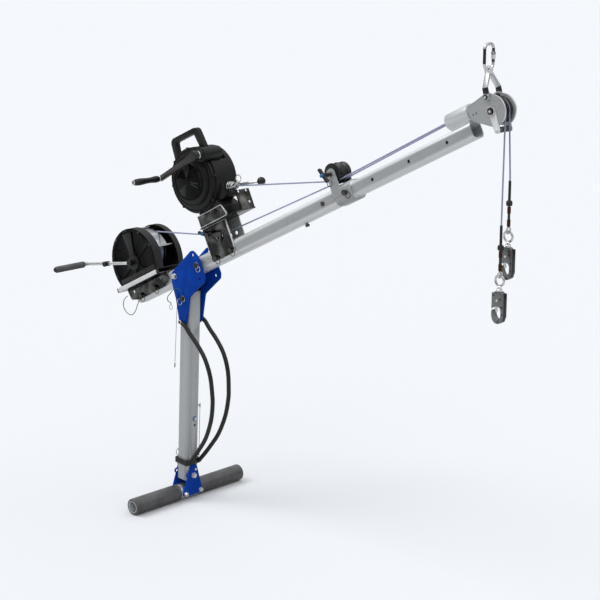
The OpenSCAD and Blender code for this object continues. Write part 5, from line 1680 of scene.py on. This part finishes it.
@dataclass
class Drops:
    """The two hanging lines with their fittings, eyes and hooks, and the small cords."""

    start_turn: float = 92.6
    lanes: tuple[float, float] = (-10.0, 10.0)
    hang: tuple[float, float] = (-14.0, 24.0)
    fall: tuple[float, float] = (527.0, 387.0)
    straight: float = 175.0
    tail: float = 13.0
    swivel: float = 54.7

    def build(self, shop: Workshop) -> None:
        """Makes every piece of the lines."""
        self.sides(shop)
        self.small_cords()

    def sides(self, shop: Workshop) -> None:
        """Makes each hanging line, from the wheel to its hook."""
        axle = BOOM.at(HEAD_AXLE[0], 0, HEAD_AXLE[1]) / MM
        for side, lane, y, fall in zip(("near", "far"), self.lanes, self.hang, self.fall):
            wrap = [Vector((axle.x + HEAD_GROOVE * math.cos(math.radians(t)), lane,
                            axle.z + HEAD_GROOVE * math.sin(math.radians(t)))) * MM
                    for t in (self.start_turn * (1 - i / 24) for i in range(25))]
            made = Shape(ROW, Finish.LINE)
            made.tube(wrap, LINE_RADIUS, LINE_SIDES)
            made.piece("line_over_wheel_" + side,
                       Bend("slide", "drop", tuple(wrap[0]), tuple(wrap[-1])),
                       "drop_line_" + side, slot="line", angle=50)
            x, z = axle.x + HEAD_GROOVE, axle.z - fall
            knots = [(x, lane, axle.z), (x, y, z + self.straight), (x, y, z + self.tail)]
            route = [Vector(knots[0]).lerp(Vector(knots[1]), i / 12) * MM for i in range(12)]
            route += [Vector(knots[1]).lerp(Vector(knots[2]), i / 6) * MM for i in range(7)]
            parts = self.fittings(side, x, y, z)
            self.hook(shop, side, x, y, z - self.swivel)
            shop.worked("hook_gate_" + side, Finish.BRIGHT, 0.8)
            Cord("hanging_line_" + side, "drop_line_" + side, "drop", route, LINE_RADIUS,
                 Finish.LINE, "line", "fitting", "limp", "hanging", LINE_SIDES).make(*parts)

    @staticmethod
    def hook(shop: Workshop, side: str, x: float, y: float, z: float) -> None:
        """Dresses one hook: grey body, black back strip, dark rivets and pressed side plates."""

        def finish(place: Vector, way: Vector) -> Finish | None:
            """Tells the back strip and the dark sides from the body."""
            if way.x > 0.7 and place.x > x + 19:
                return Finish.KNOB_BLACK
            return Finish.DARK_STEEL if abs(place.y - y) > 8.6 else None

        shop.worked("hook_" + side, Finish.CAST, 1.2, zones=Zones(
            ROW, finish, (Finish.KNOB_BLACK, Finish.DARK_STEEL)))
        plan = [(-23.5, -5), (24.2, -5), (24.2, -84), (16, -84), (13.6, -64), (10, -54),
                (0, -49), (-12, -52), (-23.5, -60)]
        made = Shape(ROW, Finish.CAST)
        for low, high in ((-9.5, -8.1), (8.1, 9.5)):
            made.prism([(x + a, z + b) for a, b in plan], y + low, y + high)
        made.paint(Finish.KNOB_BLACK)
        for a, b, r in ((18.7, -50, 3.4), (11.2, -24, 3.4), (-17, -14, 3.0), (19, -74, 3.0)):
            made.rod((x + a, y - 10.6, z + b), (x + a, y + 10.6, z + b), r, 16, 0.4)
        made.paint(Finish.BRIGHT)
        made.rod((x - 3, y - 10.4, z - 30), (x - 3, y + 10.4, z - 30), 4.2, 20, 0.4)
        made.piece("hook_plates_" + side, shop.home["hook_" + side], slot="grey_cast",
                   edge=0.5)

    def fittings(self, side: str, x: float, y: float, z: float) -> list[bpy.types.Object]:
        """Two bodies that a piece would bend between, and the stretch where it turns; a piece given
        one is baked in place and follows neither body, and its fields are only logged.
        """
        bore = LINE_RADIUS + 0.02
        made = Shape(ROW, Finish.COPPER)
        for low, high, r in ((56, 78, 6.0), (13, 36, 6.0)):
            profile = [(0, bore), (0, r - 1.1), (1.0, r), (high - low - 1.0, r),
                       (high - low, r - 1.1), (high - low, bore)]
            made.turned((x, y, z + low), (0, 0, 1), profile, 28, ring=True)
        made.paint(Finish.KNOB_BLACK)
        made.turned((x, y, z + 36.4), (0, 0, 1), [(0, bore), (0, 4.4), (19.2, 4.4), (19.2, bore)],
                    24, ring=True)
        ball = [(0, 7.6), (1.4, 9.4), (4.5, 10.4), (12.5, 10.4), (15.6, 9.4), (17, 7.6)]
        made.turned((x, y, z + 80.5), (0, 0, 1), [(0, bore), *ball, (17, bore)], 32, ring=True)
        sleeve = [(0, bore), (0, 4.0), (0.7, 4.6), (63.3, 4.6), (64, 4.0), (64, bore)]
        made.turned((x, y, z + 98), (0, 0, 1), sleeve, 28, ring=True)
        made.paint(Finish.BRIGHT)
        made.wire_ring((x, y, z), (1, 0, 0), 10, 3, 40)
        fittings = made.piece("fittings_" + side, "drop", "line_fittings", slot="ferrule")
        made = Shape(ROW, Finish.BRIGHT)
        made.wire_ring((x, y, z - 19.7), (0, 1, 0), 17, 4, 44)
        top = z - self.swivel
        made.turned((x, y, top - 22), (0, 0, 1), [(0, 5.0), (1, 6), (38, 6)], 28)
        made.turned((x, y, top + 0.3), (0, 0, 1), [(0, 9.2), (0.8, 10), (6.5, 10), (8, 8.6)], 32)
        eye = made.piece("swivel_eye_" + side, "drop", "hook_eyes", slot="bright_steel")
        return [fittings, eye]

    @staticmethod
    def small_cords() -> None:
        """Makes the lanyards and the thin safety wires."""
        route = [MAST.at(*p) for p in smooth(CROWN_CORD, 4)]
        ring = Shape(MAST, Finish.BRIGHT)
        ring.wire_ring((-48, -60, 781), (1, 0, 0), 4, 0.9, 20)
        ring.wire_ring((-48, -60, 768), (0, 1, 0), 9, 1.2, 40)
        held = ring.piece("crown_lanyard_ring", "crown", "crown_lanyard", slot="green_cord")
        Cord("crown_cord_drawn", "crown_lanyard", "crown", route, 1.5, Finish.GREEN,
             "green_cord", "fitting").make(held)
        route = [BOOM.at(s, -43.5, n) for s, _, n in smooth([(a, 0, b) for a, b in WINCH_CORD], 4)]
        Cord("winch_cord_drawn", "winch_lanyard", "boom", route, 1.5, Finish.GREEN,
             "green_cord", "object").make()
        for name, node, body, low, high, r in SAFETY_WIRES:
            top, end = MAST.at(*high), MAST.at(*low)
            crimps = Shape(MAST, Finish.DARK_STEEL)
            way = (Vector(low) - Vector(high)).normalized()
            start = tuple(Vector(high) - way * 0.2)
            crimps.rod(start, tuple(Vector(high) + way * 16), 2.2, 16, 0.4)
            crimps.rod(tuple(Vector(low) - way * 16), tuple(Vector(low) + way * 0.2), 2.2, 16, 0.4)
            if name == "mast_wire_drawn":
                crimps.rod((24, 22, 363), (34, 30, 363), 2.0, 16)
            held = crimps.piece(name + "_crimps", body, node, slot="bright_steel")
            route = [top.lerp(end, i / 10) for i in range(11)]
            Cord(name, node, body, route, r, Finish.WIRE, "bright_steel", "fitting", "stiff",
                 "hanging").make(held)


SECTIONS = (Foot(), Mast(), Crown(), Boom(), Winch(), Block(), Head(), Drops())


@dataclass(frozen=True)
class Studio:
    """The floor, the light and the photograph's camera.

    Attributes:
        spot: The camera's place in the row frame, in metres.
        azimuth: How far round the camera stands, in degrees.
        elevation: How far above the level it stands, in degrees.
        lens: Its focal length in millimetres, on a 36 mm sensor.
        ground: Height of the floor.
        paper: The floor's colour in the picture, linear.
        mirrored: Its colour in what the hoist mirrors.
        bounce: Its colour in what lights the hoist.
        horizon: Strength of the room's light near the level.
        zenith: Its strength overhead.
    """

    spot: Triple = (4.6936, -4.1059, 2.3317)
    azimuth: float = 44.61
    elevation: float = 13.93
    lens: float = 97.65
    ground: float = -0.0332
    paper: Triple = (0.845, 0.860, 0.885)
    mirrored: Triple = (0.62, 0.63, 0.64)
    bounce: Triple = (0.28, 0.284, 0.29)
    horizon: float = 0.20
    zenith: float = 0.92

    def build(self) -> None:
        """Sets the whole studio up."""
        self.floor()
        self.world()
        self.sun("key", 1.00, 35, (-2.2, -2.0, 4.0))
        self.sun("fill", 0.25, 70, (3.0, 1.2, 3.2))
        self.sun("front", 0.30, 50, (1.5, -3.0, 2.0))
        self.camera()
        scene = bpy.context.scene
        scene.view_settings.view_transform = "Standard"

    def floor(self) -> None:
        """Lays the pale floor, far past the edges of the picture."""
        reach = 90.0
        data = bpy.data.meshes.new("floor")
        data.from_pydata([(-reach, -reach, self.ground), (reach, -reach, self.ground),
                          (reach, reach, self.ground), (-reach, reach, self.ground)], [],
                         [(0, 1, 2, 3)])
        s = Surface("floor_paper")
        light = s.node("ShaderNodeLightPath")
        seen = Value(s.tree, light.outputs["Is Camera Ray"])
        glossy = Value(s.tree, light.outputs["Is Glossy Ray"])
        rest = s.blend(glossy, self.bounce, self.mirrored)
        data.materials.append(s.set(Base_Color=s.blend(seen, rest, self.paper),
                                    Roughness=0.9, Specular_IOR_Level=0.0))
        made = bpy.data.objects.new("floor", data)
        bpy.context.scene.collection.objects.link(made)

    def world(self) -> None:
        """Fills the room with level light."""
        world = bpy.data.worlds.new("room")
        bpy.context.scene.world = world
        world.use_nodes = True
        tree = world.node_tree
        back = tree.nodes["Background"]
        back.inputs["Color"].default_value = (0.97, 0.985, 1.0, 1.0)
        where = tree.nodes.new("ShaderNodeTexCoord")
        split = tree.nodes.new("ShaderNodeSeparateXYZ")
        tree.links.new(where.outputs["Generated"], split.inputs[0])
        height = Value(tree, split.outputs["Z"]).ramp(0.12, 0.8)
        strength = height * (self.zenith - self.horizon) + self.horizon
        tree.links.new(strength.socket, back.inputs["Strength"])

    @staticmethod
    def sun(name: str, energy: float, spread: float, place: Triple) -> None:
        """Hangs a soft sun that shines from a place towards the hoist."""
        lamp = bpy.data.lights.new(name, "SUN")
        lamp.energy = energy
        lamp.angle = math.radians(spread)
        made = bpy.data.objects.new(name, lamp)
        made.location = place
        made.rotation_mode = "QUATERNION"
        made.rotation_quaternion = Vector(place).to_track_quat("Z", "Y")
        bpy.context.scene.collection.objects.link(made)

    def camera(self) -> None:
        """Sets the photograph's camera up."""
        lens = bpy.data.cameras.new("photo_camera")
        lens.lens = self.lens
        lens.sensor_width = 36.0
        lens.clip_start, lens.clip_end = 0.1, 300.0
        made = bpy.data.objects.new("photo_camera", lens)
        a, e = math.radians(self.azimuth), math.radians(self.elevation)
        back = Vector((math.sin(a) * math.cos(e), -math.cos(a) * math.cos(e), math.sin(e)))
        made.location = self.spot
        made.rotation_mode = "QUATERNION"
        made.rotation_quaternion = back.to_track_quat("Z", "Y")
        bpy.context.scene.collection.objects.link(made)
        bpy.context.scene.camera = made


def main() -> None:
    """Loads the frame, dresses every piece and sets the studio up."""
    logging.basicConfig(level=logging.INFO, format="%(name)s %(message)s")
    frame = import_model()
    shop = Workshop(frame)
    REPEAT.append(Repeater())
    for section in SECTIONS:
        section.build(shop)
        LOG.info("%s is built", type(section).__name__)
    Studio().build()


if __name__ == "__main__":
    main()
